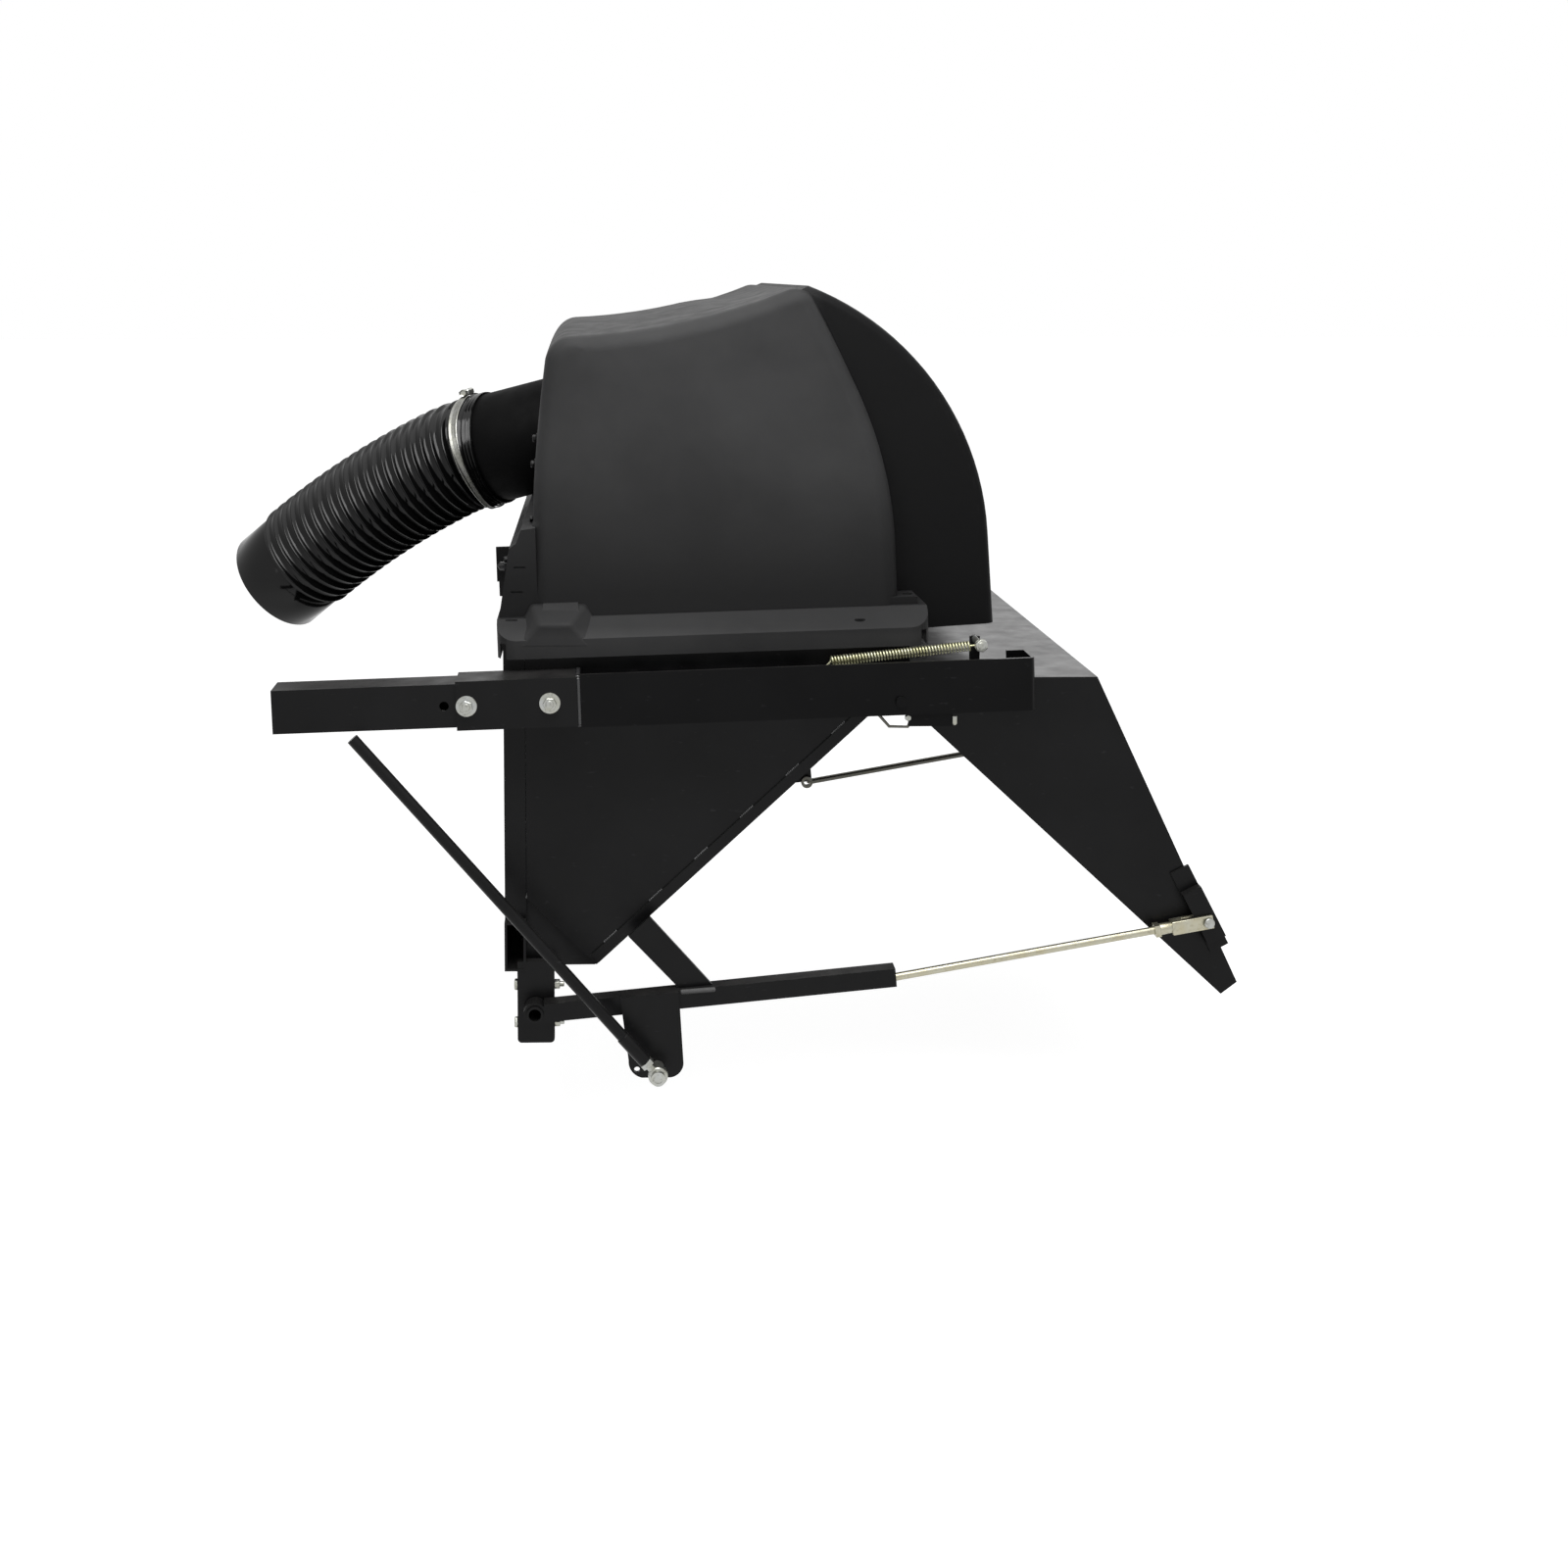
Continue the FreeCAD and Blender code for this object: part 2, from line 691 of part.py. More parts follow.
# Sleeves and support tube
sleeve = size("sleeve_size")
sleeve_wall = size("sleeve_wall")
sleeve_in = rail_inner
bolt_spots = [-size("bolt_front"), -size("bolt_rear")]
bolts = []
for name, side in sides:
    body = new_body(f"sleeve_{name}")
    low = sleeve_in
    outer = [
        (-size("sleeve_length"), -sleeve / 2),
        (-0.3, -sleeve / 2),
        (-0.3, sleeve / 2),
        (-size("sleeve_length"), sleeve / 2),
    ]
    pad(body, "XZ_Plane", across(side, low, sleeve), sleeve, [outer])
    bore_half = sleeve / 2 - sleeve_wall
    bore = [
        (-size("sleeve_length") - 1, -bore_half),
        (1.0, -bore_half),
        (1.0, bore_half),
        (-size("sleeve_length") - 1, bore_half),
    ]
    if side > 0:
        cut(body, "XZ_Plane", low + sleeve - sleeve_wall, sleeve - sleeve_wall * 2, [bore])
    else:
        cut(body, "XZ_Plane", -(low + sleeve_wall), sleeve - sleeve_wall * 2, [bore])
    cut(
        body,
        "XZ_Plane",
        across(side, low, sleeve) + sleeve,
        sleeve,
        [],
        [(spot, 0.001, size("bolt_radius") + 0.1) for spot in bolt_spots],
    )
    tilt(body, size("rail_front"), size("rail_centre"), rail_climb)
    nodes.append(body)

    tube_low = sleeve_in + sleeve_wall + size("tube_play")
    tube_size = size("tube_size")
    front_end = -size("tube_reach") if side > 0 else -size("sleeve_length") + 1
    body = new_body("support_tube" if side > 0 else "support_stub")
    outer = [
        (front_end, -tube_size / 2),
        (-8.0, -tube_size / 2),
        (-8.0, tube_size / 2),
        (front_end, tube_size / 2),
    ]
    pad(body, "XZ_Plane", across(side, tube_low, tube_size), tube_size, [outer])
    bore_half = tube_size / 2 - size("tube_wall")
    bore = [
        (sized(front_end) - 1, -bore_half),
        (0.001, -bore_half),
        (0.001, bore_half),
        (sized(front_end) - 1, bore_half),
    ]
    inside = tube_size - size("tube_wall") * 2
    if side > 0:
        cut(body, "XZ_Plane", tube_low + tube_size - size("tube_wall"), inside, [bore])
    else:
        cut(body, "XZ_Plane", -(tube_low + size("tube_wall")), inside, [bore])
    holes = [(spot, 0.001, size("bolt_radius") + 0.1) for spot in bolt_spots]
    if side > 0:
        holes.append((-size("spare_hole"), 0.001, size("spare_hole_radius")))
    cut(body, "XZ_Plane", across(side, tube_low, tube_size) + tube_size, tube_size, [], holes)
    tilt(body, size("rail_front"), size("rail_centre"), rail_climb)
    nodes.append(body)

    for number, spot in enumerate(bolt_spots, 1):
        shank = new_body(f"tube_bolt_shank_{name}_{number}")
        pad(
            shank,
            "XZ_Plane",
            across(side, sleeve_in, sleeve + 11),
            sleeve + 11,
            [],
            [(spot, 0.001, size("bolt_radius"))],
        )
        washer = new_body(f"tube_washer_{name}_{number}")
        pad(
            washer,
            "XZ_Plane",
            across(side, sleeve_in + sleeve, 2.0),
            2.0,
            [],
            [(spot, 0.001, size("washer_radius")), (spot, 0.001, size("bolt_radius"))],
        )
        head = new_body(f"tube_head_{name}_{number}")
        ring = [
            (sized(spot) + 8.1 * math.cos(math.radians(60 * k + 15)), 0.001 + 8.1 * math.sin(math.radians(60 * k + 15)))
            for k in range(6)
        ]
        pad(head, "XZ_Plane", across(side, sleeve_in + sleeve + 2, 6.5), 6.5, [ring], [(spot, 0.001, size("bolt_radius"))])
        for member in (shank, washer, head):
            tilt(member, size("rail_front"), size("rail_centre"), rail_climb)
            bolts.append(member)
nodes.append(group("tube_bolts", bolts))

# Stop plates under the rails
for name, side in sides:
    low_edge = -rail_height / 2 - size("stop_depth")
    corners = [
        (size("stop_start"), low_edge),
        (size("stop_start") + size("stop_length"), low_edge),
        (size("stop_start") + size("stop_length"), -rail_height / 2 + 14),
        (size("stop_start"), -rail_height / 2 + 14),
    ]
    body = plate(f"stop_plate_{name}", side, rail_outer - rail_wall * 2, rail_wall, corners)
    tilt(body, size("rail_front"), size("rail_centre"), rail_climb)
    nodes.append(body)

# Door
gap = size("side_gap")
door_out = inner - gap
door_in = door_out - wall
door_top = hinge_z + size("door_top_rise")
door_rear = size("door_rear_angle")
top_corner = (hinge_x + size("door_top_length"), door_top)
rear_corner = along(top_corner, -door_rear, size("door_rear_length"))
tip = along(rear_corner, -size("door_lip_angle"), size("door_lip_length"))
seam = size("door_seam")
near_hinge = along(hinge, -seam, 26)
for name, side in sides:
    corners = [
        (hinge_x - 16, hinge_z - 16),
        near_hinge,
        tip,
        rear_corner,
        top_corner,
        (hinge_x - 16, door_top),
    ]
    nodes.append(plate(f"door_side_{name}", side, door_in, wall, corners, [(hinge_x, hinge_z, pin_hole)]))

skin = new_body("door_skin")


def inside_corner(corner, arriving, leaving):
    """The inner corner of a folded sheet that turns to the right."""
    turn = tangent((sized(arriving) - leaving) / 2)
    x = sized(corner[0]) + (sine(arriving) - turn * cosine(arriving)) * wall
    z = sized(corner[1]) - (cosine(arriving) + turn * sine(arriving)) * wall
    return x, z


skin_start = hinge_x + 22
pad(
    skin,
    "XZ_Plane",
    -door_in,
    door_in * 2,
    [
        [
            (skin_start, door_top),
            top_corner,
            rear_corner,
            tip,
            along(tip, -size("door_lip_angle") - 90, wall),
            inside_corner(rear_corner, -door_rear, -size("door_lip_angle")),
            inside_corner(top_corner, 0, -door_rear),
            (skin_start, door_top - wall),
        ]
    ],
)
nodes.append(skin)

# Door brackets, yokes and links
link_angle = size("link_angle")
door_pin = (size("door_pin_x"), size("door_pin_z"))
link_length = size("link_length")
yoke_pins = []
jam_nuts = []
for name, side in sides:
    body = new_body(f"door_bracket_{name}")
    plane_low = link_plane - 2.5
    mid = bar(door_pin, -62.4, 26, 12.0, 42)
    pad(body, "XZ_Plane", across(side, plane_low, 5.0), 5.0, [mid])
    upper = along(door_pin, -62.4, -42)
    lower = along(door_pin, -62.4, 26)
    stand = plane_low - door_out + 5
    pad(body, "XZ_Plane", across(side, door_out, stand), stand, [bar(upper, -62.4, 5, 12.0, 0.0)])
    pad(body, "XZ_Plane", across(side, door_out, stand), stand, [bar(lower, -62.4, 0.5, 12.0, 4.5)])
    pad(body, "XZ_Plane", across(side, door_out, 4.0), 4.0, [bar(upper, -62.4, 5, 12.0, 26)])
    pad(body, "XZ_Plane", across(side, door_out, 4.0), 4.0, [bar(lower, -62.4, 16, 12.0, 4.5)])
    cut(body, "XZ_Plane", across(side, plane_low, 5.0) + 5.0, 5.0, [], [(door_pin[0], door_pin[1], 4.06)])
    nodes.append(body)

    body = new_body(f"yoke_{name}")
    fork = 16.0
    ends = bar(door_pin, 180 + link_angle, 58, 8.0, 9)
    pad(body, "XZ_Plane", across(side, link_plane - fork / 2, fork), fork, [ends])
    slot = bar(door_pin, 180 + link_angle, 30, 9.0, 11)
    cut(body, "XZ_Plane", across(side, link_plane - 3.2, 6.4) + 6.4, 6.4, [slot])
    cut(body, "XZ_Plane", across(side, link_plane - fork / 2, fork) + fork, fork, [], [(door_pin[0], door_pin[1], 4.0)])
    nodes.append(body)
    yoke_pins.append(pin(f"yoke_pin_{name}", side, link_plane - 10, 21, door_pin[0], door_pin[1], 3.98))
    back = 180 + link_angle
    nut = bar(along(door_pin, back, 58), back, 6.5, 7.0)
    jam_nuts.append(plate(f"jam_nut_{name}", side, link_plane - 7, 14.0, nut))
    radius = size("link_radius")
    reach = link_length - 58 - 6.5
    rod = rod_along(f"link_rod_{name}", door_pin, back, 58 + 6.5, reach, radius, link_plane, side)
    eye = along(door_pin, back, link_length)
    low = link_plane - 4.5
    pad(rod, "XZ_Plane", across(side, low, 9.0), 9.0, [], [(eye[0], eye[1], 9.5)])
    cut(rod, "XZ_Plane", across(side, low, 9.0) + 9.0, 9.0, [], [(eye[0], eye[1], 5.0)])
    nodes.append(rod)
nodes.append(group("yoke_pins", yoke_pins))
nodes.append(group("jam_nuts", jam_nuts))

# Springs and their studs
spring_plane = half + size("spring_space")
hook = (336.0, 415.0)
anchor = (523.0, 437.5)
spring_angle = size("spring_angle")
studs = []
anchor_bolts = []
for name, side in sides:
    low = spring_plane - 7
    reach = rail_in - low
    studs.append(pin(f"spring_stud_{name}", side, low, reach, hook[0], hook[1] - 8.0, 4.0))
    length = size("spring_length")
    spring = rod_along(f"spring_{name}", hook, spring_angle, 12, length, size("spring_radius"), spring_plane, side)
    wire = 3.0
    level = across(side, spring_plane - wire / 2, wire)
    front_eye = (hook[0], hook[1] - 8.0)
    spring_front = along(hook, spring_angle, 14)
    spring_rear = along(hook, spring_angle, 10 + length)
    for eye, root in ((front_eye, spring_front), (anchor, spring_rear)):
        rise = math.degrees(math.atan2(sized(root[1]).number - eye[1], sized(root[0]).number - eye[0]))
        long = math.hypot(sized(root[1]).number - eye[1], sized(root[0]).number - eye[0])
        pad(spring, "XZ_Plane", level, wire, [bar(eye, rise, long, wire / 2, -5.5)])
        pad(spring, "XZ_Plane", level, wire, [], [(eye[0], eye[1], 4.3 + wire), (eye[0], eye[1], 4.3)])
    nodes.append(spring)
    tab = [
        (anchor[0] - 12, door_top + 0.1),
        (anchor[0] + 12, door_top + 0.1),
        (anchor[0] + 12, anchor[1] + 8),
        (anchor[0] - 12, anchor[1] + 8),
    ]
    body = plate(f"spring_bracket_{name}", side, door_in - wall, wall, tab, [(anchor[0], anchor[1], 4.0)])
    foot = [
        (anchor[0] - 12, door_top + 0.1),
        (anchor[0] + 12, door_top + 0.1),
        (anchor[0] + 12, door_top + 0.1 + wall),
        (anchor[0] - 12, door_top + 0.1 + wall),
    ]
    pad(body, "XZ_Plane", across(side, door_in - 24, 24), 24, [foot])
    nodes.append(body)
    low = door_in - wall - 5
    reach = spring_plane + 8 - low
    anchor_bolts.append(pin(f"spring_bolt_{name}", side, low, reach, anchor[0], anchor[1], 3.98))
nodes.append(group("spring_studs", studs))
nodes.append(group("spring_bolts", anchor_bolts))

# Hood, drawn in a frame of its own that climbs with the hopper's top
hood_wall = size("hood_wall")
rim = half + size("rim_overhang")
rim_front = -size("rim_front")
rim_rear = size("rim_rear")
rim_edge = size("rim_edge")
base_half = half - size("hood_base_inset")
chute_half = base_half - size("chute_inset")
rear_lean = size("hood_rear_lean")
rear_face = size("hood_rear")


def along_y(edge):
    return abs(edge.tangentAt(edge.FirstParameter).y) > 0.99


def hood_dome(label, inset):
    """The main moulding: a dished top, tapered sides, and every corner rounded."""
    body = new_body(label)
    radius = size("hood_rear_radius")
    floor = sized(2.0) if inset == 0.0 else -sized(2.0)
    centre_x = rear_face - radius
    bend = (centre_x + (radius - inset) * cosine(rear_lean), size("hood_rear_foot") + (radius - inset) * sine(rear_lean))
    back_top = along(bend, rear_lean + 90, size("hood_rear_straight") - inset)
    front_top = (size("hood_front_top") + inset, size("hood_front_height") - inset)
    outline = [
        (size("hood_face") + inset, floor, -size("hood_face_radius")),
        (*front_top, size("hood_dish_radius")),
        back_top,
        (*bend, -(radius - inset)),
        (rear_face - inset, size("hood_rear_foot")),
        (rear_face - inset, floor),
    ]
    low_half = base_half - inset
    solid = pad(body, "XZ_Plane", -low_half, low_half * 2, [outline])
    for corner, sharpness in ((front_top, "hood_front_round"), (back_top, "hood_back_round")):
        spot = (sized(corner[0]).number, sized(corner[1]).number)
        solid = round_edges(
            body,
            solid,
            size(sharpness) - inset,
            lambda e: along_y(e) and math.hypot(e.CenterOfMass.x - spot[0], e.CenterOfMass.z - spot[1]) < 1.0,
        )
    crown = base_half - size("hood_taper") - inset
    height = size("hood_roof")
    wedge = [
        (low_half, floor),
        (low_half + 60, floor),
        (low_half + 60, height + 60),
        (crown - (low_half - crown) * 60 / height, height + 60),
    ]
    solid = cut(body, "YZ_Plane", 700.0, 900.0, [wedge, [(-x, z) for x, z in wedge][::-1]])
    floor_z = floor.number
    half_width = low_half.number
    return body, round_edges(
        body,
        solid,
        size("hood_side_round") - inset,
        lambda e: abs(e.CenterOfMass.y) > 300
        and not along_y(e)
        and not (abs(e.CenterOfMass.z - floor_z) < 0.5 and abs(abs(e.CenterOfMass.y) - half_width) < 0.5),
    )


def hood_chute(label, inset):
    """The part behind the ridge: one round sweep that bulges over the door."""
    body = new_body(label)
    radius = size("chute_radius") - inset
    lean = size("chute_lean")
    centre = (size("chute_x"), size("chute_z"))
    foot = along(centre, lean, radius)
    end = along(foot, lean - 90, size("chute_drop") + (sized(inset) * 2.5))
    ridge = along(centre, size("ridge_angle"), radius)
    outline = [
        (ridge[0] - 36, ridge[1] - 16),
        (*ridge, -radius),
        foot,
        end,
        (rear_face - 25, end[1] - 5),
        (ridge[0] - 120, end[1] + 12),
    ]
    wide = chute_half - inset
    solid = pad(body, "XZ_Plane", -wide, wide * 2, [outline])
    wide_number = wide.number
    edge_x = ridge[0].number
    foot_z = end[1].number
    round_edges(
        body,
        solid,
        size("chute_round") - sized(inset) / 2,
        lambda e: abs(abs(e.CenterOfMass.y) - wide_number) < 0.5
        and e.CenterOfMass.x > edge_x + 10
        and e.CenterOfMass.z > foot_z + 20,
    )
    return body


dome, _ = hood_dome("hood_dome", 0.0)
chute = hood_chute("hood_chute", 0.0)

flange = new_body("hood_flange")
plan = [(rim_front, -rim), (rim_rear, -rim), (rim_rear, rim), (rim_front, rim)]
step = size("rim_step")
slab = pad(flange, "XY_Plane", 0.001, step, [plan])
rim_number = rim.number
rounded = round_edges(
    flange,
    slab,
    size("rim_corner"),
    lambda e: abs(e.tangentAt(e.FirstParameter).z) > 0.99,
)
slope = [(rim, rim_edge), (rim + 9, rim_edge), (rim + 9, step + 9), (base_half - 14, step + 9)]
cut(flange, "YZ_Plane", 700.0, 900.0, [slope, [(-x, z) for x, z in slope][::-1]])

# A raised pad on each side of the rim, a boss at its rear corners and the step of the front apron
extras = []
bump_low = size("bump_start")
bump_high = bump_low + size("bump_length")
bump_rise = size("bump_rise")
for name, side in sides:
    body = new_body(f"hood_bump_{name}")
    shoulder = 18.0
    profile = [
        (bump_low, 2.0),
        (bump_low + shoulder, step + bump_rise),
        (bump_high - shoulder, step + bump_rise),
        (bump_high, 2.0),
    ]
    reach = rim - base_half + 10
    pad(body, "XZ_Plane", across(side, rim - reach - 1, reach), reach, [profile])
    slope = [
        (rim * side * -1, rim_edge + bump_rise),
        ((rim + 9) * side * -1, rim_edge + bump_rise),
        ((rim + 9) * side * -1, step + bump_rise + 9),
        ((base_half - 14) * side * -1, step + bump_rise + 9),
    ]
    cut(body, "YZ_Plane", 700.0, 900.0, [slope if side < 0 else slope[::-1]])
    extras.append(body)
    body = new_body(f"hood_boss_{name}")
    boss = [(rear_face - 14, 2.0), (rear_face + 24, 2.0), (rear_face + 22, step + 9), (rear_face - 14, step + 9)]
    pad(body, "XZ_Plane", across(side, chute_half + 12, 46), 46, [boss])
    extras.append(body)

apron_half = base_half - 14
apron = new_body("hood_apron")
profile = [
    (rim_front + 1.5, 2.0),
    (rim_front + 1.5, step - 2),
    (rim_front + 16.5, 125.0),
    (rim_front + 25, 131.0),
    (rim_front + 31.5, 147.0),
    (size("hood_face") + 8, 149.0),
    (size("hood_face") + 8, 2.0),
]
pad(apron, "XZ_Plane", -apron_half, apron_half * 2, [profile])

hollow_dome, _ = hood_dome("hood_hollow_dome", hood_wall)
hollow_chute = hood_chute("hood_hollow_chute", hood_wall)
recess_body = new_body("hood_recess")
lap = hood_wall
recess = [
    (rim_front + lap, -(rim - lap)),
    (rim_rear - lap, -(rim - lap)),
    (rim_rear - lap, rim - lap),
    (rim_front + lap, rim - lap),
]
pad(recess_body, "XY_Plane", -2.0, size("hood_ledge") + 2.0, [recess])


def merged(label, kind, parts):
    joined = doc.addObject(kind, label)
    joined.Label = label
    joined.Shapes = parts
    return joined


outer_form = merged("hood_outside", "Part::MultiFuse", [dome, chute, flange, apron] + extras)
inner_form = merged("hood_inside", "Part::MultiFuse", [hollow_dome, hollow_chute, recess_body])
for piece in [dome, chute, flange, apron, hollow_dome, hollow_chute, recess_body] + extras:
    tilt(piece, -size("hood_front"), size("hood_floor"), climb)
doc.recompute()

hood_shell = doc.addObject("Part::Cut", "hood_shell")
hood_shell.Base = outer_form
hood_shell.Tool = inner_form

latch = new_body("latch_plate")
latch_back = rim_front - 0.1
latch_foot = size("latch_rise")
latch_wall = size("latch_wall")
pad(
    latch,
    "XZ_Plane",
    -latch_wall / 2,
    latch_wall,
    [
        [
            (latch_back - size("latch_reach"), latch_foot),
            (latch_back, latch_foot),
            (latch_back, latch_foot + size("latch_height")),
            (latch_back - size("latch_reach"), latch_foot + size("latch_height")),
        ]
    ],
)
tilt(latch, -size("hood_front"), size("hood_floor"), climb)
nodes.append(latch)

# Inlet collar, clamp and hose, at mid width
collar_radius = size("collar_radius").number
collar_wall = size("collar_wall").number
collar_length = size("collar_length").number
hose_radius = size("hose_radius").number
groove = size("hose_groove").number
dip = math.radians(size("hose_dip").number)
bend = size("hose_bend").number
axis = FreeCAD.Vector(-math.cos(dip), 0, -math.sin(dip))
mouth = FreeCAD.Vector(-size("mouth_reach").number, 0, size("mouth_height").number)

opening = doc.addObject("Part::Cylinder", "hood_inlet")
opening.Radius = collar_radius + 0.1
bind(opening, "Radius", size("collar_radius") + 0.1)
bind(opening, "Height", size("collar_length") * 1.5)
seam_turn = FreeCAD.Rotation(FreeCAD.Vector(0, 0, 1), 37.0)
opening.Placement = FreeCAD.Placement(mouth, FreeCAD.Rotation(FreeCAD.Vector(0, 0, 1), axis * -1.0) * seam_turn)
hood = doc.addObject("Part::Cut", "hood")
hood.Label = "hood"
hood.Base = hood_shell
hood.Tool = opening
nodes.append(hood)


def turned_part(label, start, direction, length, outer, bore):
    """A plain ring or tube about a line."""
    solid = Part.makeCylinder(outer, length, start, direction)
    solid = solid.cut(Part.makeCylinder(bore, length + 2, start - direction, direction))
    feature = doc.addObject("Part::Feature", label)
    feature.Label = label
    feature.Shape = solid
    return feature


behind = axis * -1.0
start = mouth + behind * collar_length
nodes.append(turned_part("inlet_collar", start, axis, collar_length, collar_radius, collar_radius - collar_wall))
sleeve_bore = collar_radius + 0.05
sleeve_rim = collar_radius + 3.0
clamp_start = mouth + behind * 14.5
nodes.append(turned_part("hose_clamp", clamp_start, axis, 13, sleeve_rim + 1.6, sleeve_rim + 0.05))
lug_place = mouth + behind * 8.0 + FreeCAD.Vector(math.sin(dip), 0, -math.cos(dip)) * -(sleeve_rim + 1.7)
turn_up = FreeCAD.Rotation(FreeCAD.Vector(0, 1, 0), -math.degrees(dip))
screw = doc.addObject("Part::Feature", "clamp_screw")
screw.Label = "clamp_screw"
housing = Part.makeCylinder(6.0, 26.0, FreeCAD.Vector(0, -13, 6), FreeCAD.Vector(0, 1, 0))
screw_head = Part.makeCylinder(4.5, 6.0, FreeCAD.Vector(0, -19, 6), FreeCAD.Vector(0, 1, 0))
screw.Shape = housing.fuse(screw_head).removeSplitter()
screw.Placement = FreeCAD.Placement(lug_place, turn_up)
nodes.append(screw)



def turned_by(angle):
    return FreeCAD.Rotation(FreeCAD.Vector(0, 1, 0), -angle)


sweep = size("hose_sweep").number
first_turn = size("hose_turn").number
first_run = math.radians(first_turn) * bend
second_run = math.radians(size("hose_fall").number) * sweep
hose_run = first_run + second_run


def hose_station(run):
    """A point and direction on the hose's middle line: a short bend and a long one."""
    near = mouth - FreeCAD.Vector(axis.z, 0, -axis.x) * bend
    angle = math.degrees(min(run, first_run) / bend)
    place = near + turned_by(angle).multVec(mouth - near)
    direction = turned_by(angle).multVec(axis)
    if run > first_run:
        far = place - FreeCAD.Vector(direction.z, 0, -direction.x) * sweep
        angle = math.degrees((run - first_run) / sweep)
        place = far + turned_by(angle).multVec(place - far)
        direction = turned_by(angle).multVec(direction)
    return place, direction


ribs = int(round(hose_run / size("hose_pitch").number))


def bellows(crest, root):
    """Ribs and grooves as one ruled skin through circles of two sizes."""
    rings = []
    for index in range(ribs * 2 + 1):
        place, direction = hose_station(hose_run * index / (ribs * 2.0))
        radius = crest if index % 2 else root
        rings.append(Part.Wire(Part.makeCircle(radius, place, direction)))
    return Part.makeLoft(rings, True, True)


hose_wall = size("hose_wall").number
lap = size("hose_lap").number
outside = bellows(hose_radius, hose_radius - groove)
inside = bellows(hose_radius - hose_wall, hose_radius - groove - hose_wall)
last_place, last_way = hose_station(hose_run)
cuff_length = size("cuff_length").number
cuff_bore = size("cuff_bore").number
cuff = Part.makeCylinder(cuff_bore + 4, cuff_length, last_place, last_way)
cuff = cuff.cut(Part.makeCylinder(cuff_bore, cuff_length + 1, last_place, last_way))
sleeve_ring = Part.makeCylinder(sleeve_rim, lap, mouth + behind * lap, axis)
sleeve_ring = sleeve_ring.cut(Part.makeCylinder(sleeve_bore, lap + 2, mouth + behind * (lap + 1), axis))
lip = Part.makeCylinder(sleeve_rim, 2.0, mouth, axis)
lip = lip.cut(Part.makeCylinder(hose_radius - groove - hose_wall, 4.0, mouth + behind, axis))
hose = doc.addObject("Part::Feature", "suction_hose")
hose.Label = "suction_hose"
hose.Shape = outside.cut(inside).fuse([cuff, sleeve_ring, lip])
nodes.append(hose)

doc.recompute()

# Check and export
for item in doc.Objects:
    if "Invalid" in item.State or "Error" in item.State:
        raise RuntimeError(f"{item.Label} failed: {item.State}")
os.makedirs("parts", exist_ok=True)
for node in nodes:
    solid = node.Shape
    if solid.isNull() or not solid.isValid():
        raise RuntimeError(f"{node.Label} has a bad shape")
    solid.exportStep(f"parts/{node.Label}.step")
    box = solid.BoundBox
    print(
        f"{node.Label} solids {len(solid.Solids)} volume {solid.Volume / 1000:.1f} cc "
        f"X {box.XMin:.1f} {box.XMax:.1f} Y {box.YMin:.1f} {box.YMax:.1f} Z {box.ZMin:.1f} {box.ZMax:.1f}"
    )
print(f"{len(nodes)} nodes")
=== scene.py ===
"""Dresses the mower bagger: a moulded hood and suction hose over a steel hopper with a bottom door.

Metres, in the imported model's frame: X to the rear, Z up, the near (left) side towards minus Y.
"""

import logging
import math
from dataclasses import dataclass, field
from enum import Enum
from typing import Callable, Iterable, List, Optional, Sequence, Tuple

import bmesh
import bpy
from mathutils import Matrix, Vector


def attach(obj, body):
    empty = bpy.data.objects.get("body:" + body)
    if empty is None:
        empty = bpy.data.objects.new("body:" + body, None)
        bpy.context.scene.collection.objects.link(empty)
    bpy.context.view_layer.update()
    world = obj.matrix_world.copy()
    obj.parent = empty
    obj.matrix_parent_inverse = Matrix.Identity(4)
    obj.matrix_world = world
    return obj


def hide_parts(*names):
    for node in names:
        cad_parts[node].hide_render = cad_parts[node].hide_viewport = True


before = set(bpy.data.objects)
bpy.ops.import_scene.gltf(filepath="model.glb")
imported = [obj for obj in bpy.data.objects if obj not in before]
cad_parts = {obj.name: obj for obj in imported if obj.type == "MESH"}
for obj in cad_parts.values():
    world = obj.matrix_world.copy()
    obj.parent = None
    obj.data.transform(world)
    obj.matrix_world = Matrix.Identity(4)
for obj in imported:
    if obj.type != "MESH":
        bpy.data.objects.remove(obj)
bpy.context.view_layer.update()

LOG = logging.getLogger("bagger")
Point = Tuple[float, float, float]
Colour = Tuple[float, float, float]
Span = Tuple[float, float]
Piece = bpy.types.Object
Socket = bpy.types.NodeSocket
Material = bpy.types.Material
MM = 0.001
UP = Vector((0.0, 0.0, 1.0))
BACK = Vector((1.0, 0.0, 0.0))
RIGHT = Vector((0.0, 1.0, 0.0))


class Side(Enum):
    """The two sides of the machine, by the sign of their outward Y."""

    LEFT = -1
    RIGHT = 1

    @property
    def word(self) -> str:
        """The side's name as the CAD nodes end with it."""
        return self.name.lower()

    @property
    def outward(self) -> Vector:
        """The direction away from the machine's middle."""
        return Vector((0.0, float(self.value), 0.0))

    def at(self, x: float, reach: float, z: float) -> Vector:
        """A point in metres from millimetres, at a distance out from the middle."""
        return Vector((x, self.value * reach, z)) * MM


# Finishes


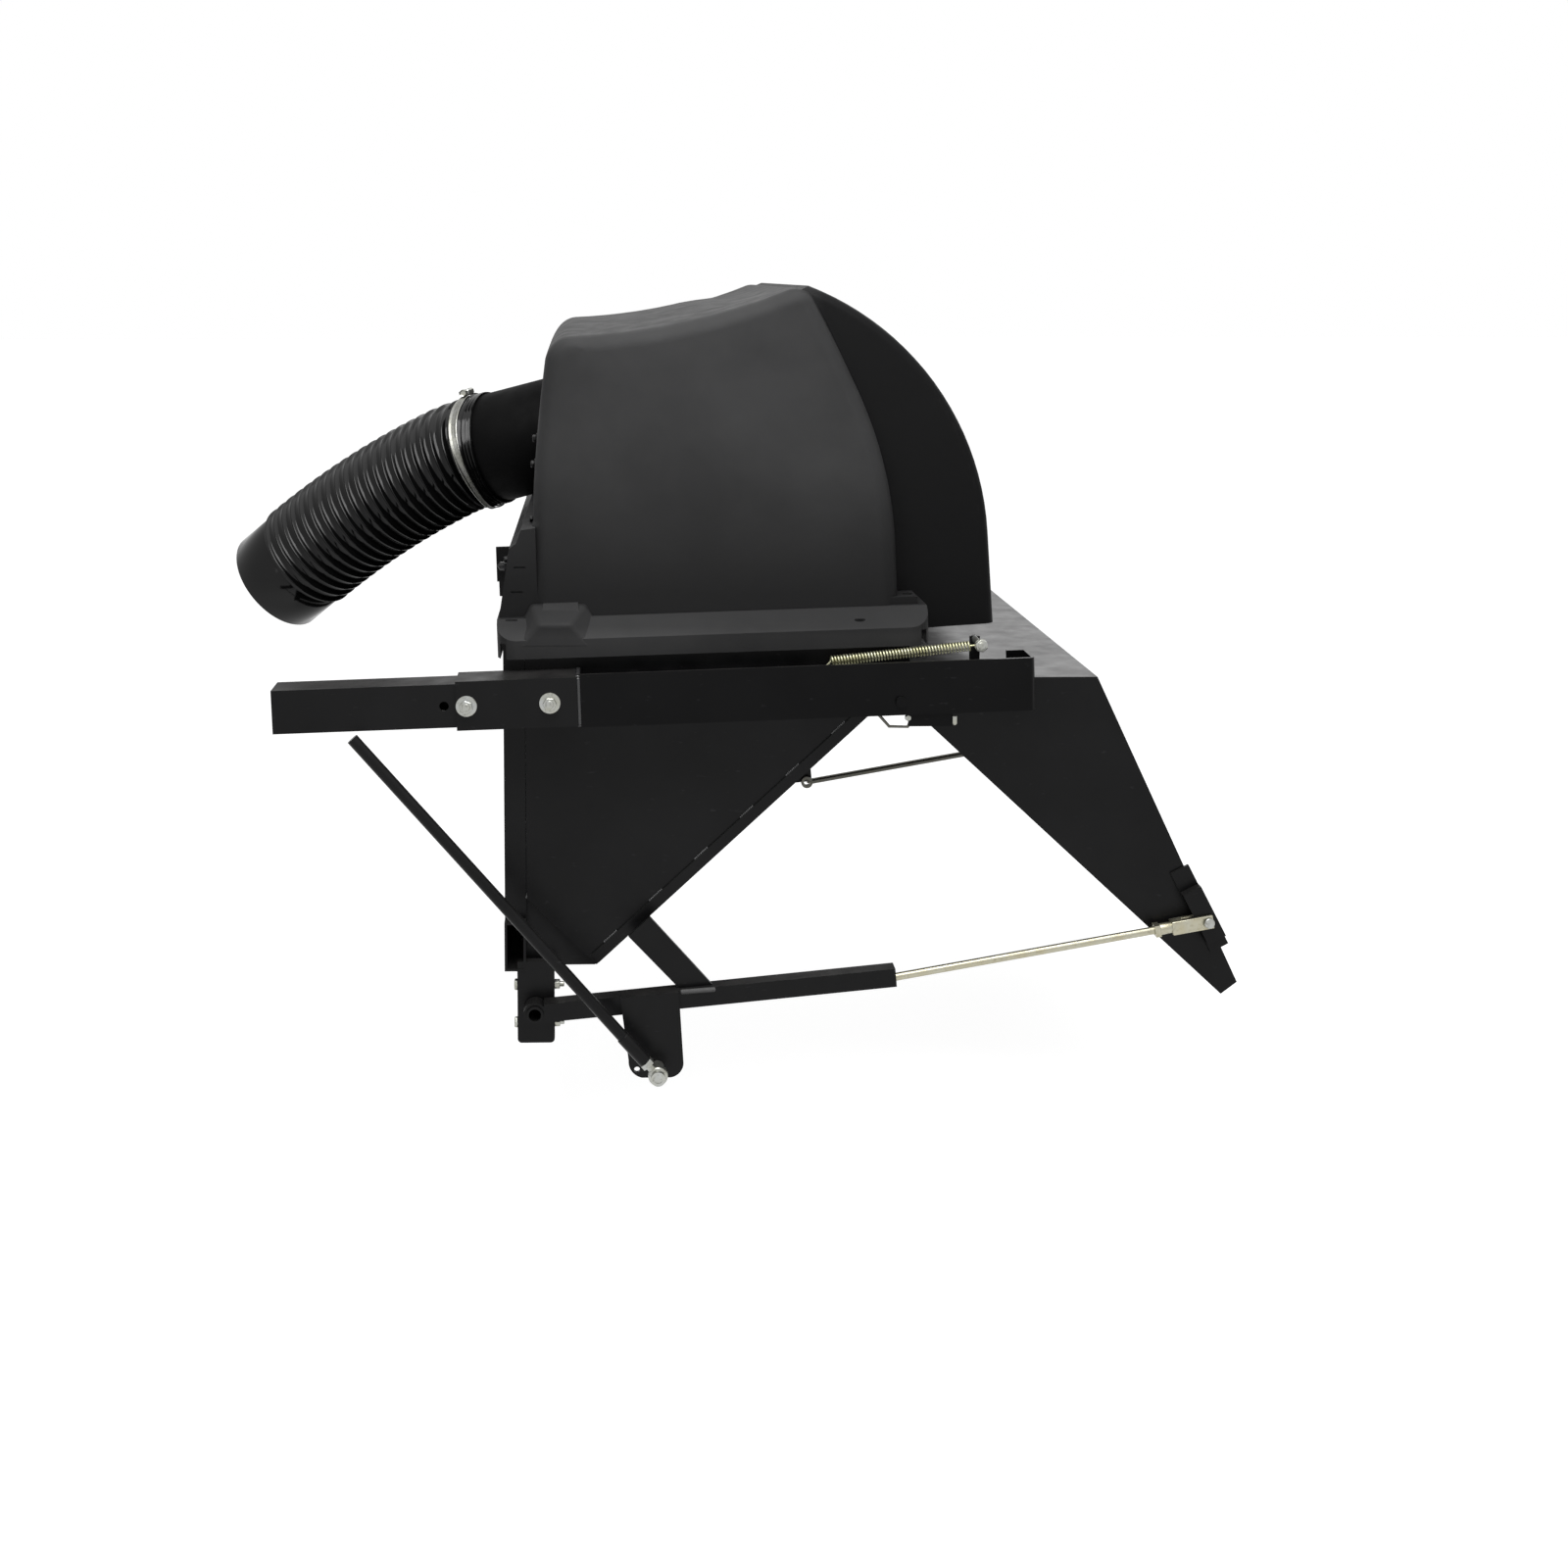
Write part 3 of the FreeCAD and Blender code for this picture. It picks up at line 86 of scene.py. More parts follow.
class Wiring:
    """The node tree of one material, with the few node kinds that the finishes are made of."""

    def __init__(self, name: str) -> None:
        """Starts a material with an empty tree, a shader and an output.

        Args:
            name: the material's name.
        """
        self.material = bpy.data.materials.new(name)
        self.material.use_nodes = True
        self.tree = self.material.node_tree
        self.tree.nodes.clear()
        self.shader = self.tree.nodes.new("ShaderNodeBsdfPrincipled")
        output = self.tree.nodes.new("ShaderNodeOutputMaterial")
        self.link(self.shader.outputs["BSDF"], output.inputs["Surface"])
        self.coords = self.tree.nodes.new("ShaderNodeTexCoord")

    def link(self, source: Socket, target: Socket) -> None:
        """Joins two sockets."""
        self.tree.links.new(source, target)

    def noise(self, scale: float, detail: float = 3.0, stretch: Point = (1, 1, 1)) -> Socket:
        """Cloudy noise over the piece's own coordinates.

        Args:
            scale: how many clouds to a metre.
            detail: how many finer layers.
            stretch: how much the pattern is drawn out along each axis.

        Returns:
            The socket of its value.
        """
        mapping = self.tree.nodes.new("ShaderNodeMapping")
        mapping.inputs["Scale"].default_value = stretch
        texture = self.tree.nodes.new("ShaderNodeTexNoise")
        texture.inputs["Scale"].default_value = scale
        texture.inputs["Detail"].default_value = detail
        self.link(self.coords.outputs["Object"], mapping.inputs["Vector"])
        self.link(mapping.outputs["Vector"], texture.inputs["Vector"])
        return texture.outputs["Fac"]

    def spread(
        self, source: Socket, low: float, high: float, to_low: float = 0.0, to_high: float = 1.0
    ) -> Socket:
        """Maps a value from one range to another, clamped.

        Args:
            source: the value.
            low: its low end.
            high: its high end.
            to_low: what the low end becomes.
            to_high: what the high end becomes.

        Returns:
            The socket of the mapped value.
        """
        node = self.tree.nodes.new("ShaderNodeMapRange")
        for socket, number in (("From Min", low), ("From Max", high), ("To Min", to_low), ("To Max", to_high)):
            node.inputs[socket].default_value = number
        self.link(source, node.inputs["Value"])
        return node.outputs["Result"]

    def maths(self, operation: str, *sources: Socket) -> Socket:
        """A value worked out of one or two others."""
        node = self.tree.nodes.new("ShaderNodeMath")
        node.operation = operation
        for source, socket in zip(sources, node.inputs):
            self.link(source, socket)
        return node.outputs["Value"]

    def mix(self, factor: Socket, first: object, second: Colour) -> Socket:
        """A colour between two, by a factor.

        Args:
            factor: 0 for the first colour and 1 for the second.
            first: a colour, or the socket of one.
            second: a colour.

        Returns:
            The socket of the mixed colour.
        """
        node = self.tree.nodes.new("ShaderNodeMix")
        node.data_type = "RGBA"
        self.link(factor, node.inputs["Factor"])
        if isinstance(first, tuple):
            node.inputs[6].default_value = (*first, 1.0)
        else:
            self.link(first, node.inputs[6])
        node.inputs[7].default_value = (*second, 1.0)
        return node.outputs[2]

    def clouds(
        self, scale: float, detail: float, low: float, high: float, first: Colour, second: Colour
    ) -> Socket:
        """One colour with clouds of a second one, where the noise goes from low to high."""
        return self.mix(self.spread(self.noise(scale, detail), low, high), first, second)

    def shine(self, scale: float, rough: Span, gloss: float = 0.5) -> None:
        """Sets clouds of roughness, and how strongly the surface mirrors."""
        self.link(self.spread(self.noise(scale, 4.0), 0.3, 0.7, *rough), self.shader.inputs["Roughness"])
        self.shader.inputs["Specular IOR Level"].default_value = gloss

    def axis(self, letter: str, size: bool = False) -> Socket:
        """One of the piece's own coordinates in metres, or its size without the sign."""
        split = self.tree.nodes.new("ShaderNodeSeparateXYZ")
        self.link(self.coords.outputs["Object"], split.inputs["Vector"])
        return self.maths("ABSOLUTE", split.outputs[letter]) if size else split.outputs[letter]

    def facing_up(self, low: float, high: float) -> Socket:
        """1 where the surface faces up and 0 where it stands."""
        split = self.tree.nodes.new("ShaderNodeSeparateXYZ")
        self.link(self.coords.outputs["Normal"], split.inputs["Vector"])
        return self.spread(split.outputs["Z"], low, high)

    def bump(self, heights: Sequence[Tuple[Socket, float]], strength: float) -> None:
        """Raises the surface by some patterns, one after another.

        Args:
            heights: each pattern's socket and its depth in metres.
            strength: how strongly they show.
        """
        below: Optional[Socket] = None
        for source, depth in heights:
            node = self.tree.nodes.new("ShaderNodeBump")
            node.inputs["Strength"].default_value = strength
            node.inputs["Distance"].default_value = depth
            self.link(source, node.inputs["Height"])
            if below is not None:
                self.link(below, node.inputs["Normal"])
            below = node.outputs["Normal"]
        self.link(below, self.shader.inputs["Normal"])


@dataclass(frozen=True)
class Moulded:
    """Moulded plastic with a pebble grain: paler where dust lies, painted shade darkening the walls towards their
    foot, and darker on the chute.
    """

    name: str = "moulded_plastic"
    colour: Colour = (0.030, 0.030, 0.0305)
    worn: Colour = (0.042, 0.042, 0.0425)
    dust: Colour = (0.036, 0.036, 0.036)
    # Painted shade: the colour that the walls are drawn darker with towards their foot, where less light falls.
    foot: Colour = (0.016, 0.016, 0.0163)
    chute: Colour = (0.0080, 0.0080, 0.0082)
    rough: Span = (0.44, 0.60)
    gloss: float = 0.05
    grain: float = 900.0
    depth: float = 0.00022
    # Painted shade: the heights where the foot shade starts and fades out, the walls' reach across, and how much of
    # it the rim takes.
    foot_shade_start: Span = (0.446, 0.456)
    foot_shade_end: Span = (0.49, 0.64)
    wall: Span = (0.4345, 0.438)
    rim_shade_share: float = 0.45
    chute_side: Span = (0.375, 0.379)
    chute_start: Span = (0.30, 0.35)

    def make(self) -> Material:
        """Builds the material."""
        wiring = Wiring(self.name)
        tone = wiring.clouds(7.0, 5.0, 0.35, 0.7, self.colour, self.worn)
        patches = wiring.spread(wiring.noise(26.0, 6.0), 0.25, 0.8, 0.25, 0.75)
        tone = wiring.mix(wiring.maths("MULTIPLY", wiring.facing_up(0.3, 1.0), patches), tone, self.dust)
        across, along, height = wiring.axis("Y", size=True), wiring.axis("X"), wiring.axis("Z")
        # Painted shade: the walls' lower part, above the rim, is darkened towards its foot, and the rim less so.
        above, below = wiring.spread(height, *self.foot_shade_start), wiring.spread(height, *self.foot_shade_end, 1.0, 0.0)
        low = wiring.maths("MULTIPLY", above, below)
        low = wiring.maths("MULTIPLY", low, wiring.spread(across, *self.wall, 1.0, self.rim_shade_share))
        tone = wiring.mix(low, tone, self.foot)
        inside = wiring.spread(across, *self.chute_side, 1.0, 0.0)
        inside = wiring.maths("MULTIPLY", inside, wiring.spread(along, *self.chute_start))
        wiring.link(wiring.mix(inside, tone, self.chute), wiring.shader.inputs["Base Color"])
        wiring.shine(40.0, self.rough, self.gloss)
        wiring.bump([(wiring.noise(self.grain, 2.0), self.depth), (wiring.noise(60.0, 3.0), 0.0004)], 0.35)
        return wiring.material


@dataclass(frozen=True)
class Paint:
    """Satin black powder coat over steel, with orange peel, dust on what faces up and a few pale rubs."""

    name: str = "black_paint"
    colour: Colour = (0.0040, 0.0040, 0.0042)
    faded: Colour = (0.0080, 0.0080, 0.0084)
    dust: Colour = (0.030, 0.029, 0.028)
    rub: Colour = (0.036, 0.036, 0.038)
    rough: Span = (0.28, 0.42)
    gloss: float = 0.14

    def make(self) -> Material:
        """Builds the material."""
        wiring = Wiring(self.name)
        tone = wiring.clouds(9.0, 5.0, 0.35, 0.7, self.colour, self.faded)
        patches = wiring.spread(wiring.noise(30.0, 6.0), 0.3, 0.75, 0.15, 0.7)
        tone = wiring.mix(wiring.maths("MULTIPLY", wiring.facing_up(0.4, 1.0), patches), tone, self.dust)
        rubbed = wiring.spread(wiring.noise(55.0, 8.0, (1.0, 1.0, 3.0)), 0.66, 0.76, 0.0, 0.5)
        wiring.link(wiring.mix(rubbed, tone, self.rub), wiring.shader.inputs["Base Color"])
        wiring.shine(35.0, self.rough, self.gloss)
        wiring.bump([(wiring.noise(420.0, 2.0), 0.00012), (wiring.noise(45.0, 3.0), 0.0003)], 0.3)
        return wiring.material


@dataclass(frozen=True)
class Zinc:
    """Zinc plate that runs from silver to straw yellow, with fine drawing marks."""

    name: str = "zinc_plate"
    silver: Colour = (0.40, 0.41, 0.40)
    straw: Colour = (0.36, 0.36, 0.31)
    dull: Colour = (0.16, 0.16, 0.15)
    rough: Span = (0.24, 0.42)
    marks: Point = (1.0, 1.0, 12.0)

    def make(self) -> Material:
        """Builds the material."""
        wiring = Wiring(self.name)
        tone = wiring.clouds(60.0, 4.0, 0.35, 0.65, self.silver, self.straw)
        spots = wiring.spread(wiring.noise(240.0, 6.0), 0.55, 0.75, 0.0, 0.7)
        wiring.link(wiring.mix(spots, tone, self.dull), wiring.shader.inputs["Base Color"])
        wiring.shine(150.0, self.rough)
        wiring.shader.inputs["Metallic"].default_value = 0.9
        wiring.bump([(wiring.noise(500.0, 3.0, self.marks), 0.00006)], 0.4)
        return wiring.material


@dataclass(frozen=True)
class Rubber:
    """Black rubber or soft plastic: even, smooth and a little grey where it is handled."""

    name: str = "collar_rubber"
    colour: Colour = (0.0024, 0.0024, 0.0025)
    bloom: Colour = (0.0045, 0.0045, 0.0045)
    rough: Span = (0.5, 0.65)
    gloss: float = 0.04

    def make(self) -> Material:
        """Builds the material."""
        wiring = Wiring(self.name)
        tone = wiring.clouds(14.0, 5.0, 0.4, 0.75, self.colour, self.bloom)
        wiring.link(tone, wiring.shader.inputs["Base Color"])
        wiring.shine(50.0, self.rough, self.gloss)
        wiring.bump([(wiring.noise(300.0, 3.0), 0.00008)], 0.3)
        return wiring.material


class Finishes:
    """Every material, built once."""

    def __init__(self) -> None:
        """Builds them all."""
        self.plastic = Moulded().make()
        self.paint = Paint().make()
        self.rail = Paint("rail_paint", (0.0022, 0.0022, 0.0024), (0.0045, 0.0045, 0.0048), gloss=0.09).make()
        # The weld paint's paler clouds are partly painted highlight: the beads wear the same black paint, and the
        # lighter colour imitates their glints.
        self.weld = Paint(
            "painted_weld", (0.008, 0.008, 0.009), (0.03, 0.03, 0.032), rough=(0.16, 0.3), gloss=0.6
        ).make()
        self.bare = Paint("bare_weld", (0.10, 0.10, 0.10), (0.22, 0.22, 0.22), rub=(0.3, 0.3, 0.3)).make()
        self.zinc = Zinc().make()
        self.straw = self.plate("yellow_zinc", (0.42, 0.41, 0.33), (0.40, 0.37, 0.26), (0.28, 0.26, 0.19))
        # A dark zinc plate. On the far side's link rod and yoke it is painted shade: the same zinc as the near
        # side's, drawn darker because that side lies in shade. The rail clips use it as well.
        self.dull = self.plate("dull_and_shaded_zinc", (0.10, 0.10, 0.09), (0.09, 0.085, 0.07), (0.06, 0.06, 0.05))
        self.spring = self.plate("spring_steel", (0.50, 0.50, 0.36), (0.42, 0.41, 0.24), (0.22, 0.21, 0.12))
        self.band = self.plate("band_steel", (0.22, 0.22, 0.21), (0.18, 0.18, 0.16), (0.10, 0.10, 0.09))
        self.rubber = Rubber().make()
        self.hose = Rubber("hose_plastic", (0.0016, 0.0016, 0.0017), (0.004, 0.004, 0.004), (0.08, 0.14), 0.22).make()

    def plate(self, name: str, silver: Colour, straw: Colour, dull: Colour) -> Material:
        """A zinc plate in other tones."""
        return Zinc(name, silver, straw, dull).make()


def dress(obj: Piece, material: Material) -> None:
    """Gives an object one material in place of what it had."""
    obj.data.materials.clear()
    obj.data.materials.append(material)


# Hand tools


def put_down() -> None:
    """Leaves edit mode and deselects everything."""
    if bpy.context.object is not None and bpy.context.object.mode != "OBJECT":
        bpy.ops.object.mode_set(mode="OBJECT")
    bpy.ops.object.select_all(action="DESELECT")


def take(obj: Piece, editing: bool = False) -> None:
    """Makes one object the only selected one, in edit mode with all selected if it is to be edited."""
    put_down()
    obj.select_set(True)
    bpy.context.view_layer.objects.active = obj
    if editing:
        bpy.ops.object.mode_set(mode="EDIT")
        bpy.ops.mesh.select_all(action="SELECT")


def start(primitive: Callable[..., object], name: str, **sizes: object) -> Piece:
    """Adds a primitive at its size, alone in the selection.

    Args:
        primitive: the operator that adds it.
        name: the object's name.
        sizes: the operator's own settings.

    Returns:
        The new object.
    """
    put_down()
    primitive(**sizes)
    obj = bpy.context.object
    obj.name = name
    obj.data.name = name
    return obj


def pick(obj: Piece, kind: str, wanted: Callable[[object], bool]) -> int:
    """Selects the edges or faces that a test wants, in edit mode, and says how many they are.

    Args:
        obj: the object, in edit mode.
        kind: EDGE or FACE.
        wanted: the test.

    Returns:
        How many passed it.
    """
    bpy.ops.mesh.select_mode(type=kind)
    bpy.ops.mesh.select_all(action="DESELECT")
    mesh = bmesh.from_edit_mesh(obj.data)
    chosen = [part for part in (mesh.faces if kind == "FACE" else mesh.edges) if wanted(part)]
    for part in chosen:
        part.select_set(True)
    bmesh.update_edit_mesh(obj.data)
    return len(chosen)


def move_points(obj: Piece, rule: Callable[[Vector], Vector]) -> None:
    """Moves every vertex of a mesh by a rule."""
    for vertex in obj.data.vertices:
        vertex.co = rule(vertex.co.copy())


def modify(obj: Piece, kind: str, **settings: object) -> None:
    """Adds a modifier with its settings and applies it."""
    take(obj)
    modifier = obj.modifiers.new(kind.title(), kind)
    for setting, value in settings.items():
        setattr(modifier, setting, value)
    bpy.ops.object.modifier_apply(modifier=modifier.name)


def smooth(obj: Piece, angle: float = 35.0) -> None:
    """Shades smooth, with edges sharper than an angle kept."""
    take(obj)
    bpy.ops.object.shade_smooth_by_angle(angle=math.radians(angle))


def mend(obj: Piece) -> None:
    """Merges doubled points and turns the faces outwards."""
    take(obj, editing=True)
    bpy.ops.mesh.remove_doubles(threshold=0.00002)
    bpy.ops.mesh.normals_make_consistent(inside=False)
    put_down()


def settle(obj: Piece, place: Optional[Matrix] = None) -> Piece:
    """Puts an object somewhere and moves its place into its mesh."""
    if place is not None:
        obj.matrix_world = place @ obj.matrix_world
    take(obj)
    bpy.ops.object.transform_apply(location=True, rotation=True, scale=True)
    return obj


def facing(spot: Vector, outward: Vector, turn: float = 0.0) -> Matrix:
    """A place whose Z points outwards, turned about it by an angle in degrees."""
    spin = outward.to_track_quat("Z", "Y").to_matrix().to_4x4()
    return Matrix.Translation(spot) @ spin @ Matrix.Rotation(math.radians(turn), 4, "Z")


def slope(angle: float) -> Vector:
    """The direction that climbs to the rear by an angle in degrees."""
    return Vector((math.cos(math.radians(angle)), 0.0, math.sin(math.radians(angle))))


def aligned(spot: Vector, *axes: Vector) -> Matrix:
    """A place at a point, whose X, Y and Z are three given directions."""
    return Matrix.Translation(spot) @ Matrix(axes).transposed().to_4x4()


def copy_at(obj: Piece, place: Matrix) -> Piece:
    """A copy with its own mesh at a place."""
    twin = obj.copy()
    twin.data = obj.data.copy()
    bpy.context.scene.collection.objects.link(twin)
    return settle(twin, place)


def rod(
    name: str, radius: float, length: float, middle: Sequence[float] = (0, 0, 0), turn: Point = (0, 0, 0),
    bevel: Tuple[float, int] = (0.0, 0), sides: int = 32, unit: float = MM,
) -> Piece:
    """A round or many-sided bar along Z, its ends bevelled. Millimetres and degrees.

    Args:
        name: the object's name.
        radius: its radius to the corners.
        length: its length.
        middle: its middle.
        turn: how it is turned about each axis.
        bevel: the bevel's width and how many segments it has.
        sides: how many sides it has.
        unit: how long a millimetre is drawn.

    Returns:
        The bar, its place moved into its mesh.
    """
    bar = start(
        bpy.ops.mesh.primitive_cylinder_add, name, vertices=sides, radius=radius * unit, depth=length * unit,
        location=Vector(middle) * unit, rotation=[math.radians(angle) for angle in turn],
    )
    settle(bar)
    if bevel[1]:
        modify(bar, "BEVEL", width=bevel[0] * unit, segments=bevel[1], limit_method="ANGLE")
    return bar


def block(name: str, size: Point, middle: Sequence[float], unit: float = MM) -> Piece:
    """A plain box by its size and its middle, in millimetres drawn as long as a unit."""
    box = start(bpy.ops.mesh.primitive_cube_add, name, size=1.0)
    move_points(box, lambda point: Vector([p * s + m for p, s, m in zip(point, size, middle)]) * unit)
    return box


def cut(obj: Piece, cutter: Piece) -> None:
    """Cuts one object out of another."""
    modify(obj, "BOOLEAN", operation="DIFFERENCE", object=cutter, solver="EXACT")
    discard(cutter)


def cast(node: str, name: str) -> Piece:
    """A free copy of a CAD node, merged, for a piece that stands for it.

    Args:
        node: the CAD node's name.
        name: the copy's name.

    Returns:
        The copy, at the origin.
    """
    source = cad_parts[node]
    mesh = source.data.copy()
    mesh.transform(source.matrix_world)
    mesh.name = name
    obj = bpy.data.objects.new(name, mesh)
    bpy.context.scene.collection.objects.link(obj)
    take(obj)
    bpy.ops.mesh.customdata_custom_splitnormals_clear()
    mend(obj)
    return obj


def join(parts: Sequence[Piece], name: str) -> Piece:
    """Joins objects into the first and names it."""
    put_down()
    for part in parts:
        part.select_set(True)
    bpy.context.view_layer.objects.active = parts[0]
    if len(parts) > 1:
        bpy.ops.object.join()
    whole = bpy.context.object
    whole.name = name
    whole.data.name = name
    return whole


def bend_wire(name: str, points: Sequence[Vector], radius: float) -> Piece:
    """A round wire bent through some points.

    Args:
        name: the object's name.
        points: its corners in metres.
        radius: its radius in metres.

    Returns:
        The wire as a mesh, closed at its ends.
    """
    line = bpy.data.curves.new(name, "CURVE")
    line.dimensions = "3D"
    line.bevel_depth = radius
    line.bevel_resolution = 2
    line.use_fill_caps = True
    spline = line.splines.new("POLY")
    spline.points.add(len(points) - 1)
    for knot, point in zip(spline.points, points):
        knot.co = (*point, 1.0)
    obj = bpy.data.objects.new(name, line)
    bpy.context.scene.collection.objects.link(obj)
    take(obj)
    bpy.ops.object.convert(target="MESH")
    smooth(obj, 50.0)
    return obj


def discard(obj: Piece) -> None:
    """Removes a pattern piece once its copies are made."""
    bpy.data.objects.remove(obj)


@dataclass
class Assembly:
    """A sub-assembly: the CAD nodes it dresses and the pieces it adds."""

    finishes: Finishes
    made: List[str] = field(default_factory=list)

    def paint_nodes(self, material: Material, names: Iterable[str]) -> None:
        """Gives CAD nodes a material."""
        for name in names:
            dress(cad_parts[name], material)
            self.made.append(name)

    def keep(
        self, obj: Piece, body: str, material: Material, slot: str, stands_for: Sequence[str] = ()
    ) -> None:
        """Completes a new piece: its material, its body and the nodes it stands for.

        Args:
            obj: the piece, in place.
            body: the CAD body that it rides on.
            material: its finish.
            slot: not used.
            stands_for: CAD nodes that it replaces.
        """
        dress(obj, material)
        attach(obj, body)
        if stands_for:
            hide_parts(*stands_for)
        self.made.append(obj.name)


# Shared small pieces


@dataclass(frozen=True)
class Bolt:
    """A hex bolt's head or nut on a washer, with its end standing proud. Millimetres."""

    across: float = 14.2
    height: float = 6.5
    washer: float = 12.2
    washer_thick: float = 2.0
    end_radius: float = 4.75
    end_length: float = 2.6

    def build(self, name: str) -> Piece:
        """Models it at the origin, standing on the plane Z = 0 with its end upwards."""
        parts = []
        foot = self.washer_thick if self.washer > 0 else 0.0
        crown = foot + self.height
        if self.washer > 0:
            parts.append(rod(f"{name}_washer", self.washer, foot, (0, 0, foot / 2), bevel=(0.35, 2), sides=40))
        corners = self.across / 2 / math.cos(math.radians(30))
        head = rod(f"{name}_head", corners, self.height, (0, 0, foot + self.height / 2), sides=6)
        take(head, editing=True)
        pick(head, "FACE", lambda face: face.calc_center_median().z > crown * MM - 1e-5)
        bpy.ops.mesh.inset(thickness=1.0 * MM)
        bpy.ops.transform.translate(value=(0, 0, 0.7 * MM))
        put_down()
        modify(head, "BEVEL", width=0.4 * MM, segments=2, limit_method="ANGLE", angle_limit=math.radians(20))
        parts.append(head)
        if self.end_length > 0:
            length = self.end_length * 2
            parts.append(rod(f"{name}_end", self.end_radius, length, (0, 0, crown), bevel=(0.9, 3), sides=24))
        bolt = join(parts, name)
        smooth(bolt)
        return bolt

    def copies(self, name: str, places: Sequence[Matrix]) -> Piece:
        """One object that holds this bolt at each place."""
        pattern = self.build(f"{name}_pattern")
        bolts = [copy_at(pattern, place) for place in places]
        discard(pattern)
        return join(bolts, name)


@dataclass(frozen=True)
class Bead:
    """A weld bead: a row of overlapping puddles. Millimetres."""

    width: float = 5.0
    rise: float = 1.6
    step: float = 2.2

    def run(self, name: str, first: Vector, last: Vector, outward: Vector, seed: int) -> Piece:
        """Lays the bead from one point to another.

        Args:
            name: the object's name.
            first: where it starts, in metres.
            last: where it ends.
            outward: the way it stands out.
            seed: for the hand-laid unevenness.

        Returns:
            The bead.
        """
        radius = self.width / 2 * MM
        puddle = start(bpy.ops.mesh.primitive_uv_sphere_add, name, segments=8, ring_count=6, radius=radius)
        take(puddle, editing=True)
        bpy.ops.transform.resize(value=(0.8, 1.0, self.rise * 2 / self.width))
        bpy.ops.transform.vertex_random(offset=0.12 * MM, seed=seed)
        put_down()
        settle(puddle)
        along = last - first
        count = max(2, int(round(along.length / (self.step * MM))))
        modify(
            puddle, "ARRAY", count=count, use_relative_offset=False, use_constant_offset=True,
            constant_offset_displace=(along.length / (count - 1), 0.0, 0.0),
        )
        take(puddle, editing=True)
        bpy.ops.transform.vertex_random(offset=0.10 * MM, seed=seed + 1)
        put_down()
        forward = along.normalized()
        sideways = outward.cross(forward).normalized()
        smooth(puddle, 70.0)
        return settle(puddle, aligned(first, forward, sideways, forward.cross(sideways)))


# Sub-assemblies


